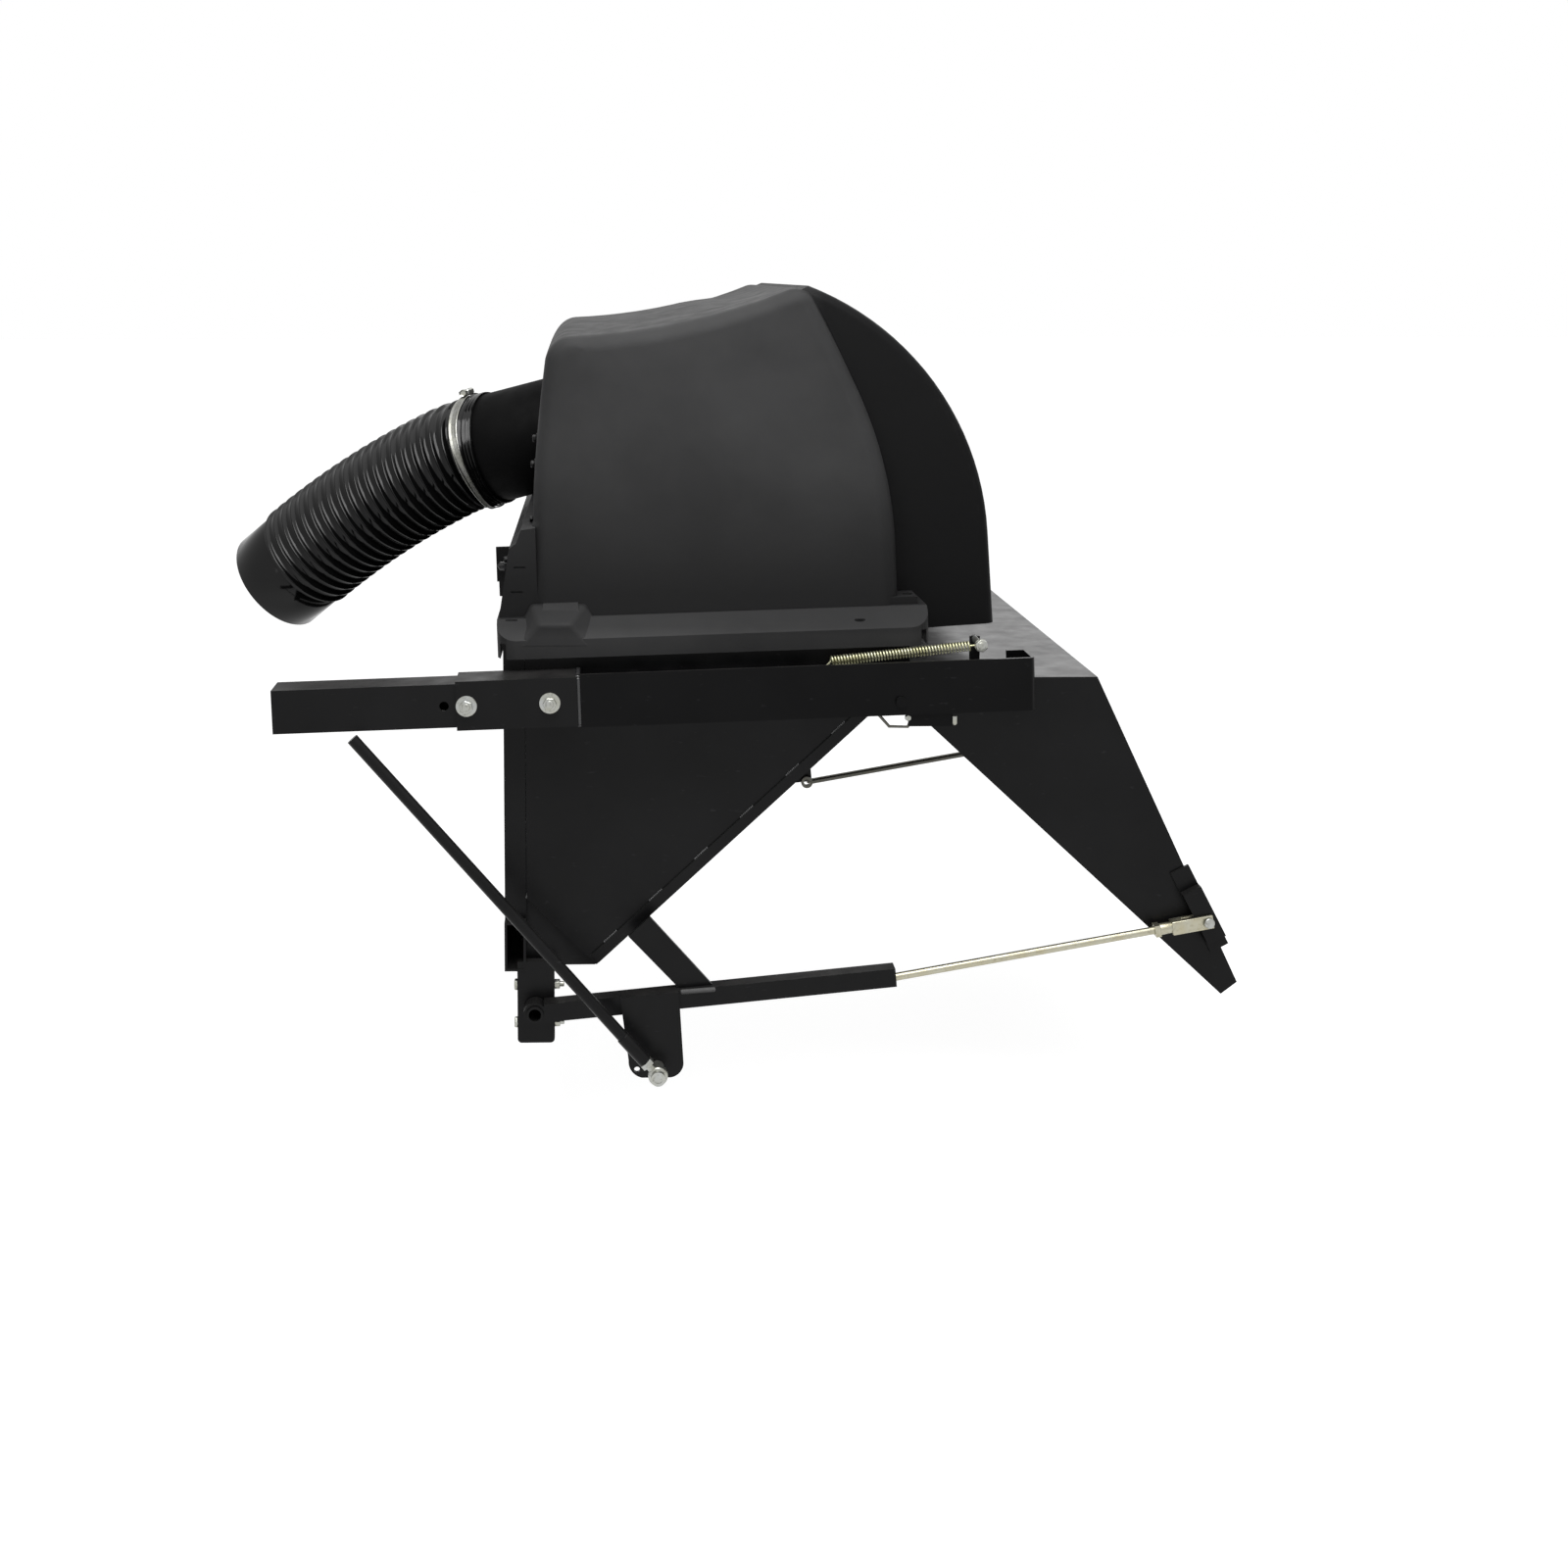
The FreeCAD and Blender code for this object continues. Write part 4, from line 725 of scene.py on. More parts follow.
@dataclass
class Hood(Assembly):
    """The moulded hood: a shell with arched roof, rounded rim, soft bumps, recesses and screws. Millimetres."""

    arch: float = 15.0
    arch_half: float = 386.0
    arch_rise: Span = (735.0, 800.0)
    arch_end: Span = (190.0, 300.0)
    strips: int = 24
    recess_radius: float = 6.6
    recess_depth: float = 3.0
    recesses: Tuple[Span, ...] = ((448.0, 408.0), (385.0, 457.0))
    slits: Tuple[Span, ...] = ((-17.5, 522.0), (-21.0, 492.5), (-27.0, 461.0))
    slit_size: Point = (14.0, 3.0, 2.0)
    face_screws: Tuple[float, ...] = (671.0, 640.0, 573.0, 523.0)
    face_reach: float = 366.0
    climb: float = 1.73
    rim_round: float = 6.0
    rim_level: float = 441.9
    rim_reach: float = 470.4
    rim_inner: float = 440.0
    rim_slope: float = 0.672
    bump_run: Span = (-50.0, 72.0)
    bump_reach: float = 440.5
    bump_round: float = 4.6
    ledge: Span = (570.5, 573.5)
    apron_top: float = 612.0

    def build(self) -> None:
        """Arches, reshapes and cuts a copy of the shell, and adds its bumps and the screws in its front face."""
        shell = cast("hood", "hood_shell")
        self.arch_roof(shell)
        self.reshape_front(shell)
        self.round_rim(shell)
        self.cut_recesses(shell)
        smooth(shell, 32.0)
        self.keep(shell, "frame", self.finishes.plastic, "hood_plastic", ["hood"])
        pillows = join([self.pillow(side) for side in Side], "rim_pillows")
        self.keep(pillows, "frame", self.finishes.plastic, "hood_plastic")
        screw = Bolt(across=8.0, height=4.0, washer=6.5, washer_thick=1.0, end_length=0.0)
        places = []
        for side in Side:
            for height in self.face_screws:
                spot = side.at(-200.0, self.face_reach, height)
                found, place, _, _ = shell.ray_cast(spot, BACK)
                if found:
                    places.append(facing(place, -BACK, height))
        self.keep(screw.copies("face_screws", places), "frame", self.finishes.paint, "black_paint")

    def arch_roof(self, shell: Piece) -> None:
        """Cuts the roof into strips and lifts them towards the middle."""
        take(shell, editing=True)
        for number in range(1, self.strips):
            place = self.arch_half * (2.0 * number / self.strips - 1.0) * MM
            bpy.ops.mesh.select_all(action="SELECT")
            bpy.ops.mesh.bisect(plane_co=(0.0, place, 0.0), plane_no=(0.0, 1.0, 0.0))
        put_down()

        def arched(point: Vector) -> Vector:
            across = min(1.0, abs(point.y) / (self.arch_half * MM))
            low, high = (value * MM for value in self.arch_rise)
            near, far = (value * MM for value in self.arch_end)
            up = min(1.0, max(0.0, (point.z - low) / (high - low)))
            back = min(1.0, max(0.0, (far - point.x) / (far - near)))
            lift = self.arch * MM * (1.0 - across**2) * up * up * (3 - 2 * up) * back * back * (3 - 2 * back)
            return point + UP * lift

        move_points(shell, arched)

    def rim_top(self, along: float, reach: float) -> float:
        """The height of the rim's sloping top, which climbs to the rear and towards the hood's wall."""
        inwards = self.rim_reach - max(reach, self.rim_inner)
        return self.rim_level + along * math.tan(math.radians(self.climb)) + inwards * self.rim_slope

    def reshape_front(self, shell: Piece) -> None:
        """Presses the square bumps flat, for the soft ones to stand there, and ends the apron in a ledge."""
        take(shell, editing=True)
        for height in self.ledge:
            bpy.ops.mesh.select_all(action="SELECT")
            bpy.ops.mesh.bisect(plane_co=(0.0, 0.0, height * MM), plane_no=(0.0, 0.0, 1.0))
        put_down()
        wall = []
        for height in (self.ledge[1] + 4.0, self.apron_top - 4.0):
            _, place, _, _ = shell.ray_cast(Side.LEFT.at(-200.0, 360.0, height), BACK)
            wall.append(place / MM)
        lean = (wall[1].x - wall[0].x) / (wall[1].z - wall[0].z)

        def eased(point: Vector) -> Vector:
            spot = point / MM
            reach = abs(spot.y)
            if self.bump_run[0] < spot.x < self.bump_run[1] and reach > self.bump_reach:
                spot.z = min(spot.z, self.rim_top(spot.x, reach))
            above = self.ledge[1] - 0.1 < spot.z < self.apron_top
            if above and spot.x < wall[0].x + (spot.z - wall[0].z) * lean + 8.0:
                spot.x += (self.apron_top - spot.z) * lean
            return spot * MM

        move_points(shell, eased)

    def round_rim(self, shell: Piece) -> None:
        """Rounds the rim's outer top edge."""
        take(shell, editing=True)
        if pick(shell, "EDGE", self.on_rim_edge):
            bpy.ops.mesh.bevel(offset=self.rim_round * MM, segments=4, affect="EDGES", clamp_overlap=True)
        put_down()

    def on_rim_edge(self, edge: bmesh.types.BMEdge) -> bool:
        """Whether an edge is where the rim's sloping top meets its upright outer face."""
        if len(edge.link_faces) != 2 or not edge.is_convex:
            return False
        if any(abs(vertex.co.z / MM - self.rim_top(vertex.co.x / MM, self.rim_reach)) > 2.5 for vertex in edge.verts):
            return False
        slopes = sorted(face.normal.z for face in edge.link_faces)
        return abs(slopes[0]) < 0.3 and 0.6 < slopes[1] < 0.95

    def pillow(self, side: Side) -> Piece:
        """The soft raised bump at the rim's front corner, flush with the rim's outer face."""
        bump = start(bpy.ops.mesh.primitive_cube_add, "rim_pillow", size=2.0)
        corners = {
            (-1, 1, -1): (-17.0, 470.3, 436.0), (1, 1, -1): (68.0, 470.3, 436.0),
            (-1, 1, 1): (7.0, 470.3, 461.0), (1, 1, 1): (43.0, 470.3, 461.0),
            (-1, -1, -1): (-20.0, 430.0, 452.0), (1, -1, -1): (80.0, 430.0, 452.0),
            (-1, -1, 1): (-5.0, 430.0, 481.0), (1, -1, 1): (63.0, 430.0, 481.0),
        }

        def placed(point: Vector) -> Vector:
            key = tuple(1 if value > 0 else -1 for value in point)
            return side.at(*corners[key])

        take(bump, editing=True)
        pick(bump, "EDGE", lambda edge: any(vertex.co.z > 0 for vertex in edge.verts))
        put_down()
        move_points(bump, placed)
        take(bump)
        bpy.ops.object.mode_set(mode="EDIT")
        bpy.ops.mesh.bevel(offset=self.bump_round * MM, segments=5, affect="EDGES", clamp_overlap=True)
        put_down()
        mend(bump)
        smooth(bump, 60.0)
        return bump

    def cut_recesses(self, shell: Piece) -> None:
        """Cuts the screw recesses into the rim's top and the slits into the apron's ends."""
        cutters = []
        for side in Side:
            for along, reach in self.recesses:
                found, place, _, _ = shell.ray_cast(side.at(along, reach, 560.0), -UP)
                if found:
                    spot = place / MM - UP * 2.0
                    drill = rod("drill", self.recess_radius, self.recess_depth * 2, spot, sides=24)
                    if reach > self.rim_inner:
                        middle = place.y
                        move_points(drill, lambda point: point + RIGHT * (middle - point.y) * 0.6)
                    cutters.append(drill)
            for along, height in self.slits:
                found, place, _, _ = shell.ray_cast(side.at(along, 560.0, height), -side.outward)
                if found:
                    cutters.append(block("slit", self.slit_size, place / MM))
        cut(shell, join(cutters, "recess_cutter"))


@dataclass
class Inlet(Assembly):
    """The inlet collar, the ribbed suction hose and its band clamp with a worm screw. Millimetres and degrees."""

    mouth: Span = (-92.0, 622.0)
    dip: float = 14.6
    bends: Tuple[Span, ...] = ((200.0, 11.4), (1000.0, 14.0))
    crest: float = 78.0
    groove: float = 73.0
    ribs: int = 20
    collar: float = 76.0
    lap: float = 30.0
    cuff: float = 50.0
    cuff_radius: float = 74.0
    around: int = 96
    collar_run: Span = (-148.0, -1.0)
    band: Span = (-12.5, -3.5)
    band_radius: float = 79.1
    lean: float = 0.36

    def build(self) -> None:
        """Models the collar from inside the hood to under the hose's lap, the hose and the clamp."""
        first, last = self.collar_run
        edge = self.collar - 0.8
        line = [(first, edge), (first + 0.8, self.collar), (last - 0.8, self.collar), (last, edge)]
        collar = self.pipe("collar_pipe", line, 3.0, leaning=False)
        self.keep(collar, "frame", self.finishes.rubber, "collar_rubber", ["inlet_collar"])
        hose = self.pipe("ribbed_hose", self.profile(), 1.6)
        self.keep(hose, "frame", self.finishes.hose, "hose_plastic", ["suction_hose"])
        self.keep(self.clamp(), "frame", self.finishes.band, "zinc_plate", ["hose_clamp"])
        self.keep(self.worm_screw(), "frame", self.finishes.zinc, "zinc_plate", ["clamp_screw"])

    def station(self, run: float) -> Tuple[Vector, float]:
        """The middle line's point and its dip, some way out from the mouth (negative is over the collar)."""
        dip = math.radians(self.dip)
        spot = Vector((self.mouth[0], 0.0, self.mouth[1]))
        left = run
        for radius, turn in self.bends:
            reach = min(left, radius * math.radians(turn))
            if left <= 0:
                break
            swept = reach / radius
            across = Vector((math.sin(dip), 0.0, -math.cos(dip)))
            spot += across * radius - Vector((math.sin(dip + swept), 0.0, -math.cos(dip + swept))) * radius
            dip += swept
            left -= reach
        return spot + Vector((-math.cos(dip), 0.0, -math.sin(dip))) * left, dip

    def laid(self, point: Vector, leaning: bool = True) -> Vector:
        """Moves a point of the straight pattern, along X in millimetres, onto the bent middle line.

        Args:
            point: the point.
            leaning: whether its ring turns away from the viewer, as the hose's rings do.

        Returns:
            The point in metres.
        """
        spot, dip = self.station(point.x - self.lean * point.y if leaning else point.x)
        across = Vector((math.sin(dip), 0.0, -math.cos(dip)))
        return (spot - across * point.z + RIGHT * point.y) * MM

    def profile(self) -> List[Span]:
        """The hose's outer line from its lap over the collar to the end of its cuff: run and radius."""
        low, high = self.groove, self.crest
        line = [(-self.lap, self.collar + 0.6), (-self.lap + 0.5, self.collar + 2.4)]
        for start_at in (-28.6, -24.2, -19.8):
            line += [(start_at, 77.4), (start_at + 1.0, 79.0), (start_at + 2.4, 79.0), (start_at + 3.4, 77.4)]
        line += [(-15.0, 79.0), (-0.6, 79.0), (0.2, 77.6)]
        run = sum(radius * math.radians(turn) for radius, turn in self.bends)
        pitch = run / self.ribs
        rib = ((0.08, 0.0), (0.25, 0.05), (0.35, 0.32), (0.41, 0.80), (0.46, 0.98))
        rib += ((0.54, 0.98), (0.59, 0.80), (0.65, 0.32), (0.75, 0.05), (0.92, 0.0))
        for number in range(self.ribs):
            line += [((number + part) * pitch, low + (high - low) * rise) for part, rise in rib]
        line += [(run, low), (run + 1.5, self.cuff_radius), (run + self.cuff - 1.0, self.cuff_radius)]
        line += [(run + self.cuff, self.cuff_radius - 0.8)]
        return line

    def turned(self, name: str, line: Sequence[Span]) -> Piece:
        """A straight pipe spun from its outer line about X, in millimetres.

        Args:
            name: the object's name.
            line: run and radius of each corner.

        Returns:
            The pipe's skin.
        """
        pipe = start(bpy.ops.mesh.primitive_plane_add, name, size=1.0)
        take(pipe, editing=True)
        bpy.ops.mesh.select_mode(type="VERT")
        bpy.ops.mesh.select_all(action="SELECT")
        bpy.ops.mesh.merge(type="CENTER")
        mesh = bmesh.from_edit_mesh(pipe.data)
        mesh.verts.ensure_lookup_table()
        mesh.verts[0].co = Vector((line[0][0], 0.0, line[0][1]))
        bmesh.update_edit_mesh(pipe.data)
        for before, after in zip(line, line[1:]):
            step = (after[0] - before[0], 0.0, after[1] - before[1])
            bpy.ops.mesh.extrude_region_move(TRANSFORM_OT_translate={"value": step})
        bpy.ops.mesh.select_all(action="SELECT")
        bpy.ops.mesh.spin(
            steps=self.around, angle=math.radians(360), center=(0, 0, 0), axis=(1, 0, 0), use_normal_flip=False
        )
        put_down()
        return pipe

    def pipe(self, name: str, line: Sequence[Span], wall: float, leaning: bool = True) -> Piece:
        """A pipe on the bent middle line, from its outer line and its wall's thickness."""
        tube = self.turned(name, line)
        move_points(tube, lambda point: self.laid(point, leaning))
        mend(tube)
        modify(tube, "SOLIDIFY", thickness=wall * MM, offset=-1.0)
        smooth(tube, 50.0)
        return tube

    def clamp(self) -> Piece:
        """The band: a strip with curled edges and a run of worm slots."""
        first, last = self.band
        rim = self.band_radius + 0.9
        line = [(first, rim + 0.5), (first + 0.5, rim + 0.9), (first + 1.3, rim + 0.3), (first + 1.8, rim)]
        line += [(first + 3.5, rim), (last - 3.5, rim)]
        line += [(last - 1.8, rim), (last - 1.3, rim + 0.3), (last - 0.5, rim + 0.9), (last, rim + 0.5)]
        band = self.turned("clamp_band", line)
        mend(band)
        take(band, editing=True)
        middle = (first + last) / 2

        def slotted(face: bmesh.types.BMFace) -> bool:
            spot = face.calc_center_median()
            angle = math.degrees(math.atan2(spot.y, spot.z)) % 360.0
            step = int(angle / (360.0 / self.around))
            return abs(spot.x - middle) < 0.9 and 20.0 < angle < 120.0 and step % 2 == 0

        if pick(band, "FACE", slotted):
            bpy.ops.mesh.delete(type="FACE")
        put_down()
        move_points(band, self.laid)
        modify(band, "SOLIDIFY", thickness=0.8 * MM, offset=-1.0)
        mend(band)
        smooth(band, 40.0)
        return band

    def worm_screw(self) -> Piece:
        """The clamp's housing on top of the band, with its slotted hex screw across it."""
        middle = sum(self.band) / 2
        top = self.band_radius + 1.4
        case = block("case", (12.4, 17.0, 8.6), (middle, 0.0, top + 4.4), unit=1.0)
        modify(case, "BEVEL", width=2.6, segments=4, limit_method="ANGLE")
        screw = rod("screw", 3.9, 25.0, (middle, -1.0, top + 5.0), (90, 0, 0), (0.5, 2), sides=24, unit=1.0)
        head = rod("head", 4.9, 5.6, (middle, -13.4, top + 5.0), (90, 0, 0), sides=6, unit=1.0)
        take(head, editing=True)
        pick(head, "FACE", lambda face: face.normal.y < -0.9)
        bpy.ops.mesh.inset(thickness=1.2)
        bpy.ops.transform.translate(value=(0, 1.2, 0))
        put_down()
        modify(head, "BEVEL", width=0.35, segments=2, limit_method="ANGLE")
        whole = join([case, screw, head], "worm_screw")
        move_points(whole, self.laid)
        mend(whole)
        smooth(whole)
        return whole


@dataclass
class Hopper(Assembly):
    """The folded hopper and its front frame, with welds, bolts, clips, stops and hitches. Millimetres and degrees."""

    half_width: float = 457.0
    heel: Span = (72.6, 46.5)
    slant: float = 42.9
    stitches: int = 6
    stitch_start: float = 26.0
    stitch_pitch: float = 74.0
    stitch_length: float = 19.0
    stitch_inset: float = 13.6
    stitch_proud: float = 0.4
    hitch_middle: float = 466.0
    hitch_faces: Span = (-21.5, 22.6)
    hitch_heights: Span = (26.3, -20.0)
    hitch_growth: Span = (11.0, 9.0)
    latch_bolt: Point = (-58.5, -2.0, 463.0)
    stop_bolt: Point = (490.0, 509.0, 358.0)
    stop_floor: float = 345.5
    stop_shift: float = 7.0
    clip: Tuple[Span, ...] = ((398.0, 366.0), (400.2, 360.7), (414.5, 344.6), (436.4, 344.0), (439.2, 352.0))
    clip_reach: float = 502.0
    clip_wire: float = 1.9
    knob: Point = (436.0, 503.0, 355.5)

    def build(self) -> None:
        """Dresses the sheet metal, lays the stitch welds and adds the rest."""
        names = ["hopper_front", "rear_cross_bar", "front_cross_member", "latch_plate"]
        stems = ("hopper_side", "hopper_strip", "front_post", "corner_plate")
        self.paint_nodes(self.finishes.paint, names + [f"{stem}_{side.word}" for side in Side for stem in stems])
        beads = []
        way = slope(self.slant)
        inwards = slope(self.slant + 90.0) * self.stitch_inset * MM
        for side in Side:
            foot = side.at(self.heel[0], self.half_width + self.stitch_proud, self.heel[1]) + inwards
            for number in range(self.stitches):
                first = foot + way * (self.stitch_start + number * self.stitch_pitch) * MM
                last = first + way * self.stitch_length * MM
                beads.append(Bead(width=4.4, rise=1.5).run("stitch", first, last, side.outward, number))
        self.keep(join(beads, "stitch_welds"), "frame", self.finishes.weld, "black_paint")
        self.add_fittings()

    def add_fittings(self) -> None:
        """Redraws the stop plates and hitch brackets, and adds every bolt, the wire clips and their knobs."""
        heads, nuts, ends, clips, knobs = [], [], [], [], []
        for side in Side:
            for height in self.hitch_heights:
                heads.append(facing(side.at(self.hitch_faces[0], self.hitch_middle, height), -BACK, height))
                nuts.append(facing(side.at(self.hitch_faces[1], self.hitch_middle, height), BACK, height * 2))
            ends.append(facing(side.at(*self.stop_bolt), -UP, 8.0))
            plate = cast(f"stop_plate_{side.word}", f"stop_{side.word}")
            move_points(plate, self.shifted)
            self.keep(plate, "frame", self.finishes.rail, "black_paint", [f"stop_plate_{side.word}"])
            bracket = cast(f"hitch_bracket_{side.word}", f"hitch_{side.word}")
            move_points(bracket, self.lengthened)
            self.keep(bracket, "frame", self.finishes.paint, "black_paint", [f"hitch_bracket_{side.word}"])
            corners = [side.at(x, self.clip_reach, z) for x, z in self.clip]
            clips.append(bend_wire("clip", corners, self.clip_wire * MM))
            knobs.append(facing(side.at(*self.knob), side.outward))
        latch = [facing(Vector(self.latch_bolt) * MM, Side.LEFT.outward, 30.0)]
        zinc = self.finishes.zinc
        for name, bolt, places, material, slot in (
            ("hitch_bolts", Bolt(12.0, 3.2, 0.0, end_length=0.0), heads, zinc, "zinc_plate"),
            ("hitch_nuts", Bolt(10.5, 6.0, 0.0, end_radius=3.2, end_length=5.5), nuts, zinc, "zinc_plate"),
            ("latch_bolt", Bolt(13.0, 6.0, 0.0, end_length=0.0), latch, self.finishes.weld, "black_paint"),
            ("stop_bolts", Bolt(5.2, 9.0, 0.0, end_radius=2.0, end_length=1.5), ends, zinc, "zinc_plate"),
        ):
            self.keep(bolt.copies(name, places), "frame", material, slot)
        self.keep(join(clips, "rail_clips"), "frame", self.finishes.dull, "zinc_plate")
        self.keep(Bolt(7.0, 4.0, 0.0, end_length=0.0).copies("clip_knobs", knobs), "frame", zinc, "zinc_plate")

    def shifted(self, point: Vector) -> Vector:
        """Moves the stop plate forward and flattens its foot."""
        return Vector((point.x - self.stop_shift * MM, point.y, max(point.z, self.stop_floor * MM)))

    def lengthened(self, point: Vector) -> Vector:
        """Draws the hitch bracket's ends out to the cross member and down."""
        up, down = self.hitch_growth
        if point.z > 0.040:
            return point + UP * up * MM
        return point - UP * down * MM if point.z < -0.027 else point


@dataclass
class Rails(Assembly):
    """The side rails, sleeves and support tube, with their bolts and welds. Millimetres and degrees."""

    front: Span = (52.0, 378.5)
    climb: float = 1.85
    inner: float = 457.5
    sleeve: float = 57.4
    bolt_spots: Span = (-128.0, -32.0)
    weld_ends: Span = (6.0, 5.0)
    weld_sink: float = 3.5
    weld_inset: float = 3.0

    def spot(self, side: Side, along: float, reach: float, rise: float) -> Vector:
        """A point given in the rail's own climbing frame."""
        turn = math.radians(self.climb)
        x = self.front[0] + along * math.cos(turn) - rise * math.sin(turn)
        z = self.front[1] + along * math.sin(turn) + rise * math.cos(turn)
        return side.at(x, reach, z)

    def build(self) -> None:
        """Dresses the steel, and adds the bolts and the welds at the sleeves' ends."""
        self.paint_nodes(self.finishes.paint, ["support_tube", "support_stub", "sleeve_left", "sleeve_right"])
        self.paint_nodes(self.finishes.rail, ["hinge_tubes", "hinge_pins", "rail_left", "rail_right"])
        outer, half = self.inner + self.sleeve, self.sleeve / 2
        bolts, beads = [], []
        for side in Side:
            for number, along in enumerate(self.bolt_spots):
                bolts.append(facing(self.spot(side, along, outer, 0.0), side.outward, 11.0 + 17 * number))
        self.keep(Bolt().copies("sleeve_bolts", bolts), "frame", self.finishes.zinc, "zinc_plate", ["tube_bolts"])
        bead = Bead(width=6.0, rise=2.0)
        reaches = (self.inner + self.weld_ends[0], outer - self.weld_ends[1])
        rises = (self.weld_inset - half, half - self.weld_inset)
        for side in Side:
            for number, rise in enumerate((half, -half)):
                first, last = (self.spot(side, 1.0, reach, rise) for reach in reaches)
                beads.append(bead.run("weld", first, last, UP if rise > 0 else -UP, 20 + number))
            first, last = (self.spot(side, 1.0, outer - self.weld_sink, rise) for rise in rises)
            beads.append(bead.run("weld", first, last, side.outward, 30))
        self.keep(join(beads, "sleeve_welds"), "frame", self.finishes.weld, "black_paint")


@dataclass
class LiftGear(Assembly):
    """The torque tube, lift arms, links and tie rod. Millimetres and degrees."""

    pin: Span = (804.8, 97.1)
    link_angle: float = 9.94
    link_plane: float = 468.0
    fork_size: Point = (16.5, 16.0, 50.0)
    fork_slot: Point = (20.0, 6.4, 44.0)
    fork_bore: float = 4.15
    ring_bore: float = 5.06
    tie_pin: Point = (144.3, -526.0, -63.5)
    tie_angle: float = 131.2
    strap_weld: Tuple[Point, Point] = ((174.0, 495.5, 25.6), (211.0, 495.5, 28.2))

    def build(self) -> None:
        """Dresses the arms and links, and models the yokes, the tie rod's ends and the straps' welds."""
        steel = [f"{stem}_{side.word}" for side in Side for stem in ("lift_arm", "arm_strap")]
        self.paint_nodes(self.finishes.paint, ["torque_tube", "gusset_plate", "tie_rod"] + steel)
        self.paint_nodes(self.finishes.zinc, ["rod_bolt"])
        self.paint_nodes(self.finishes.straw, ["jam_nuts", "link_rod_left"])
        # Painted shade: the far link rod gets the darker zinc, a shaded copy of the near rod's straw zinc.
        self.paint_nodes(self.finishes.dull, ["link_rod_right"])
        for side in Side:
            # Painted shade: the far yoke is drawn in the darker zinc because it lies in shade; the near one is straw
            # zinc.
            finish = self.finishes.straw if side is Side.LEFT else self.finishes.dull
            self.keep(self.yoke(side), "links", finish, "zinc_plate", [f"yoke_{side.word}"])
        self.keep(self.rod_end(), "tie_rod", self.finishes.zinc, "zinc_plate", ["tie_rod_end"])
        self.keep(self.tip(), "tie_rod", self.finishes.paint, "black_paint")
        welds = []
        for side in Side:
            first, last = (side.at(*spot) for spot in self.strap_weld)
            welds.append(Bead(width=6.5, rise=2.4).run("weld", first, last, side.outward, 40))
        self.keep(join(welds, "strap_welds"), "arms", self.finishes.bare, "black_paint")

    def yoke(self, side: Side) -> Piece:
        """A fork with its slot and a round barrel behind it, along the link from the door's pin."""
        fork = block("fork", self.fork_size, (0.0, 0.0, 19.0))
        cut(fork, block("slot", self.fork_slot, (0.0, 0.0, 8.0)))
        cut(fork, rod("drill", self.fork_bore, 60.0, turn=(90, 0, 0)))
        modify(fork, "BEVEL", width=1.3 * MM, segments=3, limit_method="ANGLE")
        whole = join([fork, rod("barrel", 6.9, 17.0, (0, 0, 50.0), bevel=(1.2, 3))], f"fork_{side.word}")
        smooth(whole)
        way = slope(180.0 + self.link_angle)
        spot = side.at(self.pin[0], self.link_plane, self.pin[1])
        return settle(whole, aligned(spot, RIGHT.cross(way), RIGHT, way))

    def rod_end(self) -> Piece:
        """The tie rod's end: a rounded ring round its bolt, a neck and a jam nut."""
        ring = rod("ring", 11.6, 12.0, bevel=(3.6, 5), sides=40)
        cut(ring, rod("drill", self.ring_bore, 60.0))
        neck = rod("neck", 4.8, 22.0, (0, 20.0, 0), (90, 0, 0), sides=24)
        nut = rod("nut", 8.4, 6.5, (0, 19.0, 0), (90, 0, 0), (0.6, 2), sides=6)
        whole = join([ring, neck, nut], "ball_end")
        smooth(whole)
        return self.on_tie(whole)

    def tip(self) -> Piece:
        """The tie rod's thicker end, where its ring screws in."""
        end = rod("tie_rod_tip", 8.0, 40.0, (0, 42.6, 0), (90, 0, 0), (0.9, 3))
        smooth(end)
        return self.on_tie(end)

    def on_tie(self, whole: Piece) -> Piece:
        """Puts a piece modelled along Y onto the tie rod's line, its bolt hole outwards."""
        way = slope(self.tie_angle)
        return settle(whole, aligned(Vector(self.tie_pin) * MM, RIGHT.cross(way), way, -RIGHT))


